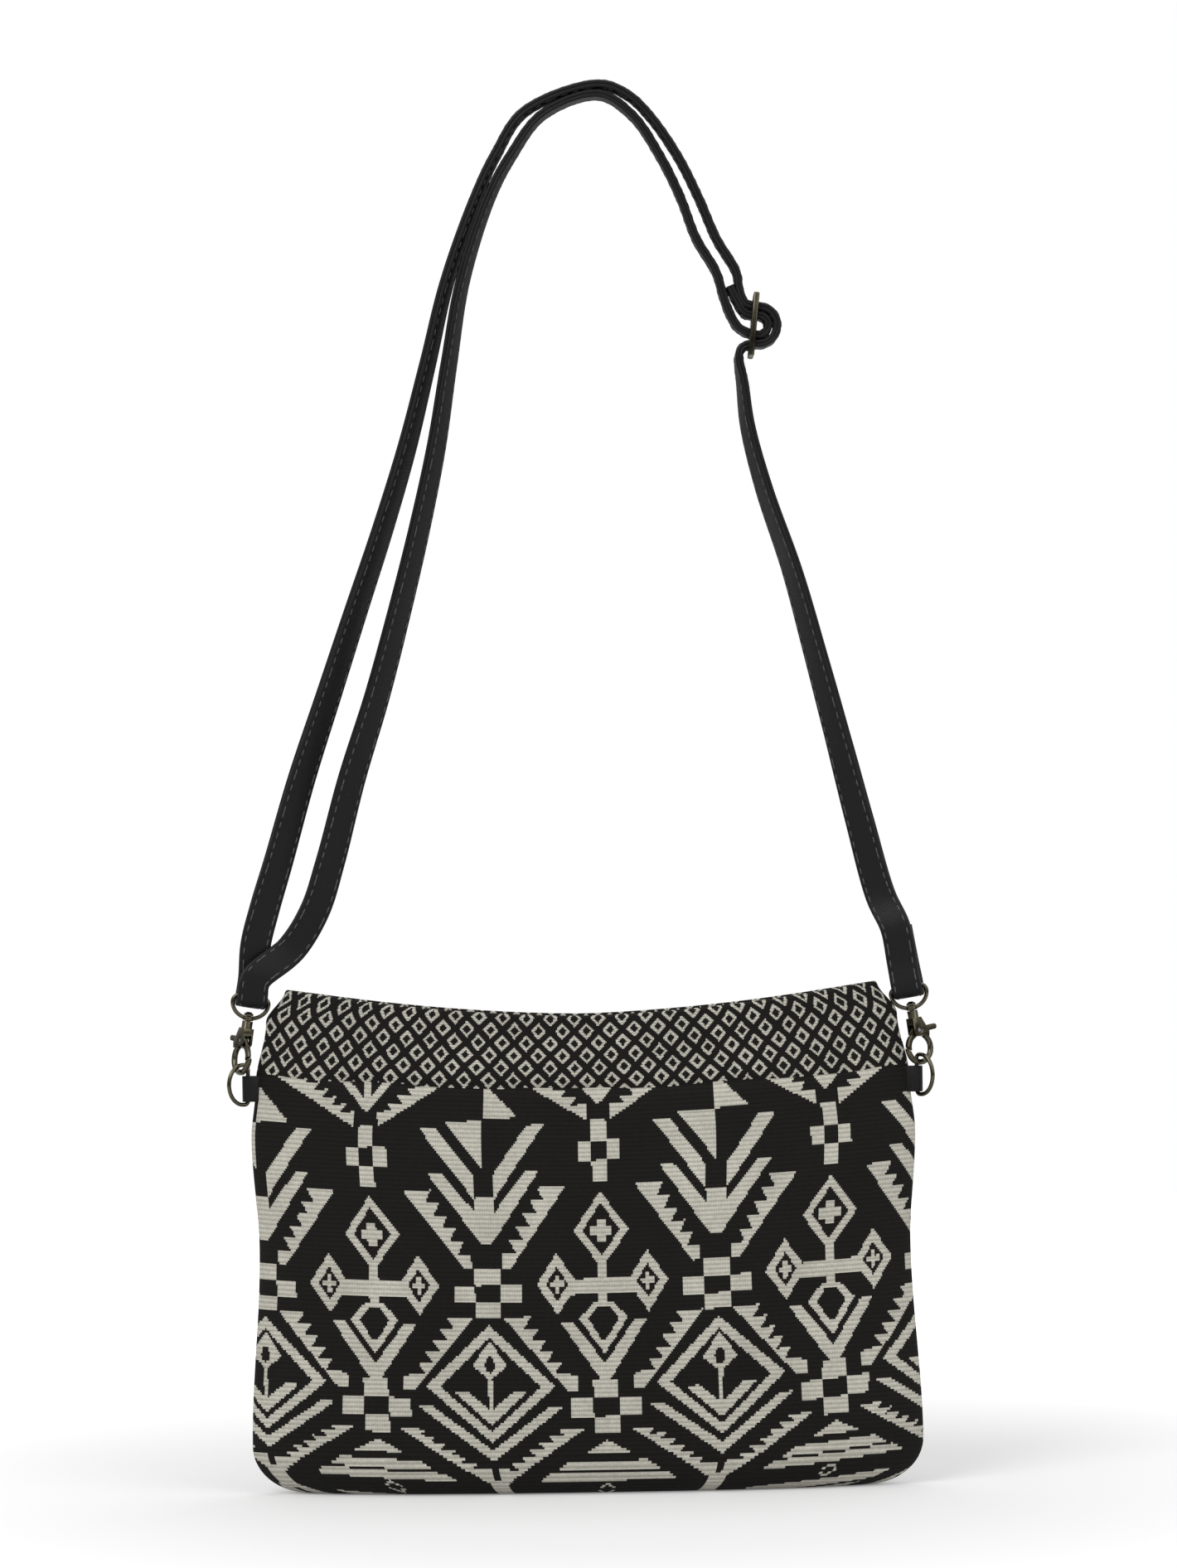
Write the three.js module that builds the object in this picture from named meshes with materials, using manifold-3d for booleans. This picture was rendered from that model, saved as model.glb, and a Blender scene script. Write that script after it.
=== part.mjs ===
// Crossbody bag: a soft zipped pouch of patterned cloth on a long adjustable strap.
// Millimetres, +Z up, front towards -Y. The origin lies under the crown of the strap, where it is carried.
import * as THREE from "three";
import { mergeVertices } from "three/addons/utils/BufferGeometryUtils.js";
import Module from "manifold-3d";

const wasm = await Module();
wasm.setup();

// Fits shared by all pieces
const CLEARANCE = 0.3;
const LINK_CLEARANCE = 0.95;
const EASE = 0.4;

// Pouch outline, with heights above its base
const BASE_WIDTH = 240;
const BELLY_WIDTH = 288;
const BELLY_HEIGHT = 20;
const WAIST_WIDTH = 279.6;
const WAIST_HEIGHT = 105;
const SHOULDER_WIDTH = 285;
const SHOULDER_HEIGHT = 152;
const TOP_WIDTH = 254;
const TAB_FLARE = 26.6;
const TAB_WIDTH = TOP_WIDTH + TAB_FLARE;
const CORNER_FLARE = 17;
const CORNER_WIDTH = TOP_WIDTH + CORNER_FLARE;
const CORNER_DROP = 14;
const TOP_HEIGHT = 216;
const TOP_SAG = 12.5;
const YOKE_HEIGHT = 36;
const SEAM_HEIGHT = TOP_HEIGHT - YOKE_HEIGHT;
const SEAM_SAG = 7.7;
const SAG_POWER = 1.6;

// Pouch depth
const BASE_FLAT = 26;
const BASE_TUCK = 6;
const BELLY_DEPTH = 44;
const EDGE_HEIGHT = 18;
const BELLY_TOP = 80;
const MOUTH_DEPTH = 26;
const LENS_POWER = 2.6;
const LENS_ROUNDING = 0.7;

// Cloth
const CLOTH = 1.6;
const YOKE_CLOTH = 2.2;
const LINING_CLOTH = 0.8;
const LINING_GAP = 0.9;
const CLOTH_COLUMNS = 18;
const FLAT_ROWS = 2;
const EDGE_ROWS = 3;
const WALL_ROWS = 6;
const YOKE_ROWS = 3;

// Zip
const ZIP_DROP = 27;
const ZIP_HEIGHT = TOP_HEIGHT - ZIP_DROP;
const ZIP_LENGTH = 218;
const ZIP_TAPE = 0.8;
const COIL_WIDTH = 2.8;
const COIL_THICKNESS = 1.8;
const COIL_CHANNEL = 1.6;
const STOP_LENGTH = 3;
const ZIP_SLIDER_LENGTH = 11;
const ZIP_SLIDER_WIDTH = 8.6;
const ZIP_PLATE = 1.3;
const ZIP_BRIDGE_WIRE = 1.5;
const ZIP_BRIDGE_LENGTH = 7;
const ZIP_BRIDGE_RISE = 2.4;
const PULL_LENGTH = 24;
const PULL_WIDTH = 5.4;
const PULL_THICKNESS = 1.4;

// Ring tabs and rings in the side seams
const RING_HEIGHT = 18.9;
const RING_DEPTH = 9.5;
const RING_LEG = 2.5;
const RING_WIRE = 1.8;
const RING_DROP = 40.4;
const RING_CENTRE = TOP_HEIGHT - RING_DROP;
const TAB_LEATHER = 1.3;
const TAB_TALL = 11;

// Swivel hooks
const CLAW_WIRE = 2.6;
const CLAW_OPENING = 9.8;
const CLAW_ROOT = 50;
const BODY_THICKNESS = 4.8;
const BODY_RISE = 2.4;
const BODY_HEIGHT = 6.8;
const NECK_WIDTH = 4.6;
const CHEEK_WIDTH = 10.8;
const PIN_DIAMETER = 1.6;
const PIN_RISE = 5.4;
const HEEL_DIAMETER = 4.2;
const GATE_THICKNESS = 1.6;
const GATE_WIDTH = 2.2;
const SPRING_WIDTH = 0.7;
const SPRING_WALL = 0.6;
const LEVER_REACH = 10.6;
const LEVER_HEIGHT = 2.4;
const GATE_SWING = 25;
const BARREL_DIAMETER = 4.6;
const BARREL_HEIGHT = 3.1;
const POST_DIAMETER = 2.2;
const HEAD_DIAMETER = 4;
const HEAD_HEIGHT = 1.6;
const BOSS_DIAMETER = 5;
const BOSS_HEIGHT = 1.8;
const EYE_WIRE = 1.8;
const EYE_HEIGHT = 9.3;
const EYE_CORNER = 2.5;
const EYE_YAW = 12;
const HOOK_LEAN = 10;
const HOOK_FORWARD = 2.4;

// How far each hook and ring is turned at rest
const HOOK_YAW = { left: 57, right: 36 };
const RING_YAW = { left: 55, right: 42 };

// Strap
const STRAP_WIDTH = 13;
const STRAP_THICKNESS = 3.6;
const STRAP_CHAMFER = 0.7;
const STRAP_RISE = 384.4;
const CROWN_SHIFT = 13.5;
const SEWN_TAIL = 26;
const STITCH_START = 11;

// Strap adjuster
const ADJUSTER_DROP = 100;
const ADJUSTER_REACH = 65;
const ADJUSTER_LEAN = 6;
const ADJUSTER_LENGTH = 27.5;
const ADJUSTER_BAR = 2.5;
const ADJUSTER_SLACK = 0.6;
const ADJUSTER_ROOM = 2;

// Colours and finishes
const finishes = {
  jacquard: { color: 0xd8cfbd, roughness: 0.9, metalness: 0 },
  yokeJacquard: { color: 0xbfb6a4, roughness: 0.9, metalness: 0 },
  lining: { color: 0x23242a, roughness: 0.8, metalness: 0 },
  tape: { color: 0x17181b, roughness: 0.85, metalness: 0 },
  nylon: { color: 0x1d1e21, roughness: 0.5, metalness: 0 },
  leather: { color: 0x1b1d22, roughness: 0.5, metalness: 0 },
  gunmetal: { color: 0x55565a, roughness: 0.25, metalness: 1 },
  steel: { color: 0x8a8c90, roughness: 0.3, metalness: 1 },
};

const degrees = THREE.MathUtils.degToRad;
const lerp = THREE.MathUtils.lerp;

function piece(name, geometry, finish) {
  const mesh = new THREE.Mesh(geometry, new THREE.MeshStandardMaterial(finishes[finish]));
  mesh.name = name;
  return mesh;
}

// A closed body from shared corner points, with its faces turned outwards.
function bodyOf(points, triangles) {
  let volume = 0;
  for (const [a, b, c] of triangles) {
    volume += points[a].dot(points[b].clone().cross(points[c]));
  }
  const turned = volume < 0 ? triangles.map(([a, b, c]) => [a, c, b]) : triangles;
  const geometry = new THREE.BufferGeometry().setFromPoints(points);
  geometry.setIndex(turned.flat());
  return geometry;
}

// A cloth sheet between an outer face (0) and an inner face (1), closed round its rim.
function sheet(rows, columns, pointAt) {
  const points = [];
  const triangles = [];
  const stride = columns + 1;
  const layer = (rows + 1) * stride;
  for (const face of [0, 1]) {
    for (let row = 0; row <= rows; row += 1) {
      for (let column = 0; column <= columns; column += 1) {
        points.push(pointAt(row, column, face));
      }
    }
  }
  const quad = (a, b, c, d) => triangles.push([a, b, c], [a, c, d]);
  for (let row = 0; row < rows; row += 1) {
    for (let column = 0; column < columns; column += 1) {
      const corner = row * stride + column;
      quad(corner, corner + 1, corner + stride + 1, corner + stride);
      quad(layer + corner, layer + corner + stride, layer + corner + stride + 1, layer + corner + 1);
    }
    const left = row * stride;
    const right = left + columns;
    quad(left, left + stride, layer + left + stride, layer + left);
    quad(right, layer + right, layer + right + stride, right + stride);
  }
  for (let column = 0; column < columns; column += 1) {
    const low = column;
    const high = rows * stride + column;
    quad(low, layer + low, layer + low + 1, low + 1);
    quad(high, high + 1, layer + high + 1, layer + high);
  }
  return bodyOf(points, triangles);
}

// Carries an outline along stations that each hold a point and two section axes.
function sweep(stations, outline, loop) {
  const points = [];
  const triangles = [];
  const sides = outline.length;
  for (const { at, across, out } of stations) {
    for (const [a, b] of outline) {
      points.push(at.clone().addScaledVector(across, a).addScaledVector(out, b));
    }
  }
  const count = stations.length;
  const spans = loop ? count : count - 1;
  for (let station = 0; station < spans; station += 1) {
    const here = station * sides;
    const next = ((station + 1) % count) * sides;
    for (let side = 0; side < sides; side += 1) {
      const beside = (side + 1) % sides;
      triangles.push([here + side, here + beside, next + beside], [here + side, next + beside, next + side]);
    }
  }
  if (!loop) {
    const last = (count - 1) * sides;
    for (let side = 1; side < sides - 1; side += 1) {
      triangles.push([0, side + 1, side], [last, last + side, last + side + 1]);
    }
  }
  return bodyOf(points, triangles);
}

function roundOutline(diameter, sides) {
  return Array.from({ length: sides }, (_, side) => {
    const angle = ((side + 0.5) / sides) * 2 * Math.PI;
    return [(diameter / 2) * Math.cos(angle), (diameter / 2) * Math.sin(angle)];
  });
}

// Round wire bent along a closed flat path, whose x and y become X and Z.
function wireLoop(path, diameter, steps) {
  const flat = path.getSpacedPoints(steps).slice(0, steps);
  const stations = flat.map((point, index) => {
    const before = flat[(index + steps - 1) % steps];
    const after = flat[(index + 1) % steps];
    const along = after.clone().sub(before).normalize();
    return {
      at: new THREE.Vector3(point.x, 0, point.y),
      across: new THREE.Vector3(-along.y, 0, along.x),
      out: new THREE.Vector3(0, 1, 0),
    };
  });
  return sweep(stations, roundOutline(diameter, 8), true);
}

// A plate cut to an outline in X and Z, from one Y to another.
function plate(shape, nearY, farY, curveSegments = 8) {
  const settings = { depth: farY - nearY, bevelEnabled: false, curveSegments };
  const geometry = new THREE.ExtrudeGeometry(shape, settings);
  return geometry.rotateX(Math.PI / 2).translate(0, farY, 0);
}

// A turned body: radii and heights from the axis round to the axis.
function turned(profile, sides) {
  const points = profile.map(([radius, height]) => new THREE.Vector2(radius, height));
  return new THREE.LatheGeometry(points, sides).rotateX(Math.PI / 2);
}

function outlineShape(corners) {
  return new THREE.Shape(corners.map(([x, y]) => new THREE.Vector2(x, y)));
}

function solidOf(geometry) {
  const bare = geometry.clone();
  bare.deleteAttribute("normal");
  bare.deleteAttribute("uv");
  const merged = mergeVertices(bare, 1e-4);
  const vertProperties = new Float32Array(merged.attributes.position.array);
  const triVerts = new Uint32Array(merged.index.array);
  return new wasm.Manifold(new wasm.Mesh({ numProp: 3, vertProperties, triVerts }));
}

function geometryOf(solid) {
  const { vertProperties, triVerts } = solid.getMesh();
  const geometry = new THREE.BufferGeometry();
  geometry.setAttribute("position", new THREE.BufferAttribute(vertProperties, 3));
  geometry.setIndex(new THREE.BufferAttribute(triVerts, 1));
  return geometry;
}

// A smooth value that passes through [height, value] pairs.
function through(pairs, height) {
  const last = pairs.length - 1;
  if (height <= pairs[0][0]) return pairs[0][1];
  if (height >= pairs[last][0]) return pairs[last][1];
  const above = pairs.findIndex(([level]) => level > height);
  const [lowLevel, low] = pairs[above - 1];
  const [highLevel, high] = pairs[above];
  return lerp(low, high, THREE.MathUtils.smoothstep(height, lowLevel, highLevel));
}

// Pouch form: half width, half depth and lens-shaped level sections
function halfWidth(height) {
  if (height < BELLY_HEIGHT) {
    const rise = 1 - height / BELLY_HEIGHT;
    return BASE_WIDTH / 2 + ((BELLY_WIDTH - BASE_WIDTH) / 2) * Math.sqrt(1 - rise * rise);
  }
  const outline = [
    [BELLY_HEIGHT, BELLY_WIDTH / 2],
    [WAIST_HEIGHT, WAIST_WIDTH / 2],
    [SHOULDER_HEIGHT, SHOULDER_WIDTH / 2],
    [RING_CENTRE, TAB_WIDTH / 2],
    [TOP_HEIGHT - CORNER_DROP, CORNER_WIDTH / 2],
    [TOP_HEIGHT, TOP_WIDTH / 2],
  ];
  return through(outline, height);
}

function halfDepth(height) {
  return through([[BELLY_TOP, BELLY_DEPTH / 2], [TOP_HEIGHT, MOUTH_DEPTH / 2]], height);
}

function lens(across) {
  return Math.pow(Math.max(0, 1 - Math.pow(Math.abs(across), LENS_POWER)), LENS_ROUNDING);
}

function topEdge(across) {
  return TOP_HEIGHT - TOP_SAG * (1 - Math.pow(Math.abs(across), SAG_POWER));
}

function yokeSeam(across) {
  return SEAM_HEIGHT - SEAM_SAG * (1 - Math.pow(Math.abs(across), SAG_POWER));
}

function columnAcross(column) {
  return Math.sin(((2 * column) / CLOTH_COLUMNS - 1) * (Math.PI / 2));
}

// A point of the pouch's front half, inset from its outer face.
function pouchPoint(across, half, depth, height, inset) {
  const seam = CLEARANCE / 2;
  return new THREE.Vector3(across * (half - inset), -(seam + (depth - seam) * lens(across)), height);
}

// Rows run from the middle of the base, round its edge and up the front to a top line.
function basketPoint(row, across, inset, topLine) {
  const flatHalf = BASE_FLAT / 2;
  if (row <= FLAT_ROWS) {
    const share = row / FLAT_ROWS;
    const half = BASE_WIDTH / 2 - BASE_TUCK * (1 - share);
    return pouchPoint(across, half, lerp(CLEARANCE / 2, flatHalf, share), inset, inset);
  }
  if (row <= FLAT_ROWS + EDGE_ROWS) {
    const angle = ((row - FLAT_ROWS) / EDGE_ROWS) * (Math.PI / 2);
    const depth = flatHalf + (BELLY_DEPTH / 2 - flatHalf - inset) * Math.sin(angle);
    const drop = (EDGE_HEIGHT - inset) * Math.cos(angle);
    const height = EDGE_HEIGHT - drop;
    return pouchPoint(across, halfWidth(height - inset * Math.cos(angle)), depth, height, inset);
  }
  const share = (row - FLAT_ROWS - EDGE_ROWS) / WALL_ROWS;
  const height = lerp(EDGE_HEIGHT, topLine(across), share);
  return pouchPoint(across, halfWidth(height), halfDepth(height) - inset, height, inset);
}

function basketSheet(insets, topLine) {
  const rows = FLAT_ROWS + EDGE_ROWS + WALL_ROWS;
  return sheet(rows, CLOTH_COLUMNS, (row, column, face) =>
    basketPoint(row, columnAcross(column), insets[face], topLine));
}

function yokeSheet() {
  const insets = [0, YOKE_CLOTH];
  return sheet(YOKE_ROWS, CLOTH_COLUMNS, (row, column, face) => {
    const across = columnAcross(column);
    const height = lerp(yokeSeam(across) + CLEARANCE / 2, topEdge(across), row / YOKE_ROWS);
    return pouchPoint(across, halfWidth(height), halfDepth(height) - insets[face], height, insets[face]);
  });
}

function makePouch(bag) {
  const liningOuter = Math.max(CLOTH, YOKE_CLOTH) + LINING_GAP;
  const liningInsets = [liningOuter, liningOuter + LINING_CLOTH];
  const liningTop = () => ZIP_HEIGHT - ZIP_TAPE / 2 - CLEARANCE;
  const panelTop = (across) => yokeSeam(across) - CLEARANCE / 2;
  for (const [side, sign] of [["front", 1], ["back", -1]]) {
    const half = [
      piece(`${side}_panel`, basketSheet([0, CLOTH], panelTop), "jacquard"),
      piece(`${side}_yoke`, yokeSheet(), "yokeJacquard"),
      piece(`${side}_lining`, basketSheet(liningInsets, liningTop), "lining"),
    ];
    for (const mesh of half) {
      mesh.scale.y = sign;
      bag.add(mesh);
    }
  }
}

// Half depth that is free between the yokes at the height of the zip.
function mouthHalf(x) {
  const half = halfWidth(ZIP_HEIGHT) - YOKE_CLOTH;
  const seam = CLEARANCE / 2;
  return seam + (halfDepth(ZIP_HEIGHT) - YOKE_CLOTH - seam) * lens(x / half);
}

// A woven tape edge follows the inside of its yoke, and its straight edge lies beside the channel.
function zipTape() {
  const steps = 12;
  const shape = new THREE.Shape();
  shape.moveTo(-ZIP_LENGTH / 2, -COIL_CHANNEL / 2);
  for (let step = 0; step <= steps; step += 1) {
    const x = lerp(-ZIP_LENGTH / 2, ZIP_LENGTH / 2, step / steps);
    shape.lineTo(x, EASE - mouthHalf(x));
  }
  shape.lineTo(ZIP_LENGTH / 2, -COIL_CHANNEL / 2);
  const geometry = new THREE.ExtrudeGeometry(shape, { depth: ZIP_TAPE, bevelEnabled: false });
  return geometry.translate(0, 0, ZIP_HEIGHT - ZIP_TAPE / 2);
}

const COIL_BASE = ZIP_HEIGHT + ZIP_TAPE / 2 + CLEARANCE;
const COIL_TOP = COIL_BASE + COIL_THICKNESS;

function zipCoil() {
  const length = ZIP_LENGTH - 2 * (STOP_LENGTH + CLEARANCE);
  const middle = -(COIL_CHANNEL + COIL_WIDTH) / 2;
  return new THREE.BoxGeometry(length, COIL_WIDTH, COIL_THICKNESS)
    .translate(0, middle, COIL_BASE + COIL_THICKNESS / 2);
}

// Top and bottom plates joined by a thin divider that runs in the channel between the coils.
const PLATE_BASE = COIL_TOP + CLEARANCE;
const PLATE_TOP = PLATE_BASE + ZIP_PLATE;
const BRIDGE_HEIGHT = PLATE_TOP + ZIP_BRIDGE_RISE;

function zipSlider() {
  const underside = ZIP_HEIGHT - ZIP_TAPE / 2 - CLEARANCE;
  const block = (length, width, low, high) =>
    solidOf(new THREE.BoxGeometry(length, width, high - low).translate(0, 0, (low + high) / 2));
  const upper = block(ZIP_SLIDER_LENGTH, ZIP_SLIDER_WIDTH, PLATE_BASE, PLATE_TOP);
  const lower = block(ZIP_SLIDER_LENGTH, ZIP_SLIDER_WIDTH, underside - ZIP_PLATE, underside);
  const channel = COIL_CHANNEL - 2 * CLEARANCE;
  const divider = block(ZIP_SLIDER_LENGTH / 2, channel, underside - ZIP_PLATE, PLATE_TOP);
  const wire = ZIP_BRIDGE_WIRE / 2;
  const bridge = new THREE.CylinderGeometry(wire, wire, ZIP_BRIDGE_LENGTH, 10).translate(0, 0, BRIDGE_HEIGHT);
  let slider = upper.add(lower).add(divider).add(solidOf(bridge));
  const legThickness = (ZIP_BRIDGE_LENGTH - PULL_WIDTH) / 2 - CLEARANCE;
  const legOffset = (ZIP_BRIDGE_LENGTH - legThickness) / 2;
  for (const side of [-1, 1]) {
    const leg = new THREE.BoxGeometry(ZIP_BRIDGE_WIRE, legThickness, BRIDGE_HEIGHT - PLATE_BASE)
      .translate(0, side * legOffset, (BRIDGE_HEIGHT + PLATE_BASE) / 2);
    slider = slider.add(solidOf(leg));
  }
  return geometryOf(slider);
}

// The pull lies along the zip with its tip just over the coils, and turns on the slider's bridge.
function zipPull() {
  const boreRadius = ZIP_BRIDGE_WIRE / 2 + CLEARANCE;
  const endRadius = boreRadius + PULL_THICKNESS / 2;
  const half = PULL_THICKNESS / 2;
  const shape = new THREE.Shape();
  const opening = Math.asin(half / endRadius);
  shape.moveTo(PULL_LENGTH, -half);
  shape.lineTo(PULL_LENGTH, half);
  shape.absarc(0, 0, endRadius, opening, 2 * Math.PI - opening, false);
  shape.holes.push(new THREE.Path().absarc(0, 0, boreRadius, 0, 2 * Math.PI, true));
  return plate(shape, -PULL_WIDTH / 2, PULL_WIDTH / 2);
}

function makeZip(bag) {
  for (const [side, sign] of [["front", 1], ["back", -1]]) {
    for (const mesh of [
      piece(`zip_tape_${side}`, zipTape(), "tape"),
      piece(`zip_coil_${side}`, zipCoil(), "nylon"),
    ]) {
      mesh.scale.y = sign;
      bag.add(mesh);
    }
  }
  for (const [side, sign] of [["left", -1], ["right", 1]]) {
    const stop = new THREE.BoxGeometry(STOP_LENGTH, COIL_CHANNEL + 2 * COIL_WIDTH, COIL_THICKNESS);
    const mesh = piece(`zip_stop_${side}`, stop, "gunmetal");
    mesh.position.set((sign * (ZIP_LENGTH - STOP_LENGTH)) / 2, 0, COIL_BASE + COIL_THICKNESS / 2);
    bag.add(mesh);
  }
  const runner = new THREE.Group();
  runner.position.x = STOP_LENGTH + CLEARANCE + EASE + (ZIP_SLIDER_LENGTH - ZIP_LENGTH) / 2;
  runner.add(piece("zip_slider", zipSlider(), "gunmetal"));
  const pull = piece("zip_pull", zipPull(), "gunmetal");
  const tipDrop = BRIDGE_HEIGHT - COIL_TOP - PULL_THICKNESS / 2 - LINK_CLEARANCE;
  pull.position.z = BRIDGE_HEIGHT;
  pull.rotation.y = Math.asin(tipDrop / PULL_LENGTH);
  runner.add(pull);
  bag.add(runner);
}

// Side hardware is laid out on the right and mirrored to the left
const RING_BORE = RING_WIRE / 2 + CLEARANCE;
const TAB_LOW = RING_CENTRE - RING_HEIGHT / 2 + RING_WIRE + CLEARANCE;
const TAB_ROOT = Math.max(halfWidth(TAB_LOW), halfWidth(TAB_LOW + TAB_TALL)) + CLEARANCE;
const BAR_X = TAB_ROOT + TAB_LEATHER + RING_BORE;
const RING_LEG_HEIGHT = RING_CENTRE + (RING_HEIGHT - RING_WIRE) / 2;
const CLAW_HEIGHT = RING_LEG_HEIGHT - (RING_WIRE + CLAW_WIRE) / 2 - LINK_CLEARANCE;

// A strip of leather folded round the ring's bar, with both ends caught in the side seam.
function ringTab() {
  const outer = RING_BORE + TAB_LEATHER;
  const half = TAB_LEATHER;
  const meet = Math.PI - Math.asin(half / outer);
  const root = TAB_ROOT - BAR_X;
  const shape = new THREE.Shape();
  shape.moveTo(root, half);
  shape.lineTo(root, -half);
  shape.absarc(0, 0, outer, -meet, meet, false);
  shape.holes.push(new THREE.Path().absarc(0, 0, RING_BORE, 0, 2 * Math.PI, true));
  const settings = { depth: TAB_TALL, bevelEnabled: false, curveSegments: 10 };
  return new THREE.ExtrudeGeometry(shape, settings).translate(0, 0, TAB_LOW);
}

// D ring: its bar runs up through the tab, and its bow stands out along X.
function dRing() {
  const half = (RING_HEIGHT - RING_WIRE) / 2;
  const bow = RING_DEPTH - RING_LEG;
  const corner = RING_WIRE;
  const path = new THREE.Path();
  path.moveTo(0, corner - half);
  path.quadraticCurveTo(0, -half, corner, -half);
  path.lineTo(RING_LEG, -half);
  path.absellipse(RING_LEG, 0, bow, half, -Math.PI / 2, Math.PI / 2, false);
  path.lineTo(corner, half);
  path.quadraticCurveTo(0, half, 0, half - corner);
  path.lineTo(0, corner - half);
  return wireLoop(path, RING_WIRE, 32);
}

// Hook levels above the middle of the claw's lowest wire
const CLAW_RADIUS = (CLAW_OPENING + CLAW_WIRE) / 2;
const BODY_LOW = 2 * CLAW_RADIUS - BODY_RISE;
const BODY_TOP = BODY_LOW + BODY_RISE + BODY_HEIGHT;
const PIN_HEIGHT = BODY_TOP - PIN_RISE;
const BARREL_TOP = BODY_TOP + BARREL_HEIGHT;
const BOSS_LOW = BARREL_TOP + CLEARANCE;
const BOSS_TOP = BOSS_LOW + BOSS_HEIGHT;
const HEAD_LOW = BOSS_TOP + CLEARANCE;
const HEAD_TOP = HEAD_LOW + HEAD_HEIGHT;
const EYE_LOW = (BOSS_LOW + BOSS_TOP) / 2;
const EYE_BAR = EYE_LOW + EYE_HEIGHT;
const SLOT = GATE_THICKNESS + SPRING_WIDTH + 3 * CLEARANCE;
const GATE_NEAR = CLEARANCE - SLOT / 2;
const GATE_FAR = GATE_NEAR + GATE_THICKNESS;
const GATE_REACH = Math.hypot(CLAW_RADIUS, PIN_HEIGHT - CLAW_RADIUS - EASE);

// Die-cast hook: claw, cheeks with a slot for the gate, barrel, and the swivel post with its head.
function hookBody() {
  const start = degrees(CLAW_ROOT);
  const claw = new THREE.Curve();
  claw.getPoint = (share, target = new THREE.Vector3()) => {
    const angle = start - share * (start + Math.PI + degrees(10));
    return target.set(CLAW_RADIUS * Math.cos(angle), 0, CLAW_RADIUS * (1 + Math.sin(angle)));
  };
  const section = outlineShape(roundOutline(CLAW_WIRE, 8));
  const bent = new THREE.ExtrudeGeometry(section, { steps: 16, bevelEnabled: false, extrudePath: claw });
  const sweepClear = new THREE.Shape();
  sweepClear.absarc(0, PIN_HEIGHT, GATE_REACH + EASE, Math.PI / 2, 1.5 * Math.PI, false);
  const cutter = plate(sweepClear, -CLAW_WIRE, CLAW_WIRE, 12);
  const cheek = outlineShape([
    [-NECK_WIDTH / 2, BODY_TOP],
    [-CHEEK_WIDTH / 4, BODY_LOW + BODY_RISE],
    [-NECK_WIDTH / 3, BODY_LOW + BODY_RISE / 2],
    [NECK_WIDTH / 2, BODY_LOW + BODY_RISE / 2],
    [CHEEK_WIDTH / 2 - CLAW_WIRE / 4, BODY_LOW],
    [CHEEK_WIDTH / 2, BODY_LOW + BODY_RISE],
    [NECK_WIDTH / 2, BODY_TOP],
  ]);
  const heel = HEEL_DIAMETER / 2 + EASE;
  const leverLow = PIN_HEIGHT - LEVER_HEIGHT / 2 - EASE;
  const leverHigh = PIN_HEIGHT + LEVER_HEIGHT / 2 + Math.tan(degrees(GATE_SWING)) * CHEEK_WIDTH / 2 + EASE;
  const slot = outlineShape([
    [-CHEEK_WIDTH, 0],
    [heel, 0],
    [heel, leverLow],
    [CHEEK_WIDTH, leverLow],
    [CHEEK_WIDTH, leverHigh],
    [0, PIN_HEIGHT + heel],
    [-CHEEK_WIDTH, PIN_HEIGHT + heel],
  ]);
  const bore = new THREE.CylinderGeometry(PIN_DIAMETER / 2 + CLEARANCE, PIN_DIAMETER / 2 + CLEARANCE,
    2 * BODY_THICKNESS, 12).translate(0, 0, PIN_HEIGHT);
  const post = turned([
    [0, BODY_TOP - CLAW_WIRE / 4],
    [BARREL_DIAMETER / 2, BODY_TOP - CLAW_WIRE / 4],
    [BARREL_DIAMETER / 2, BARREL_TOP],
    [POST_DIAMETER / 2, BARREL_TOP],
    [POST_DIAMETER / 2, HEAD_LOW],
    [HEAD_DIAMETER / 2, HEAD_LOW],
    [HEAD_DIAMETER / 2, (HEAD_LOW + HEAD_TOP) / 2],
    [HEAD_DIAMETER / 4, HEAD_TOP],
    [0, HEAD_TOP],
  ], 12);
  const cheeks = solidOf(plate(cheek, -BODY_THICKNESS / 2, BODY_THICKNESS / 2))
    .subtract(solidOf(plate(slot, -SLOT / 2, SLOT / 2)))
    .subtract(solidOf(bore));
  return geometryOf(solidOf(bent).subtract(solidOf(cutter)).add(cheeks).add(solidOf(post)));
}

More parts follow.
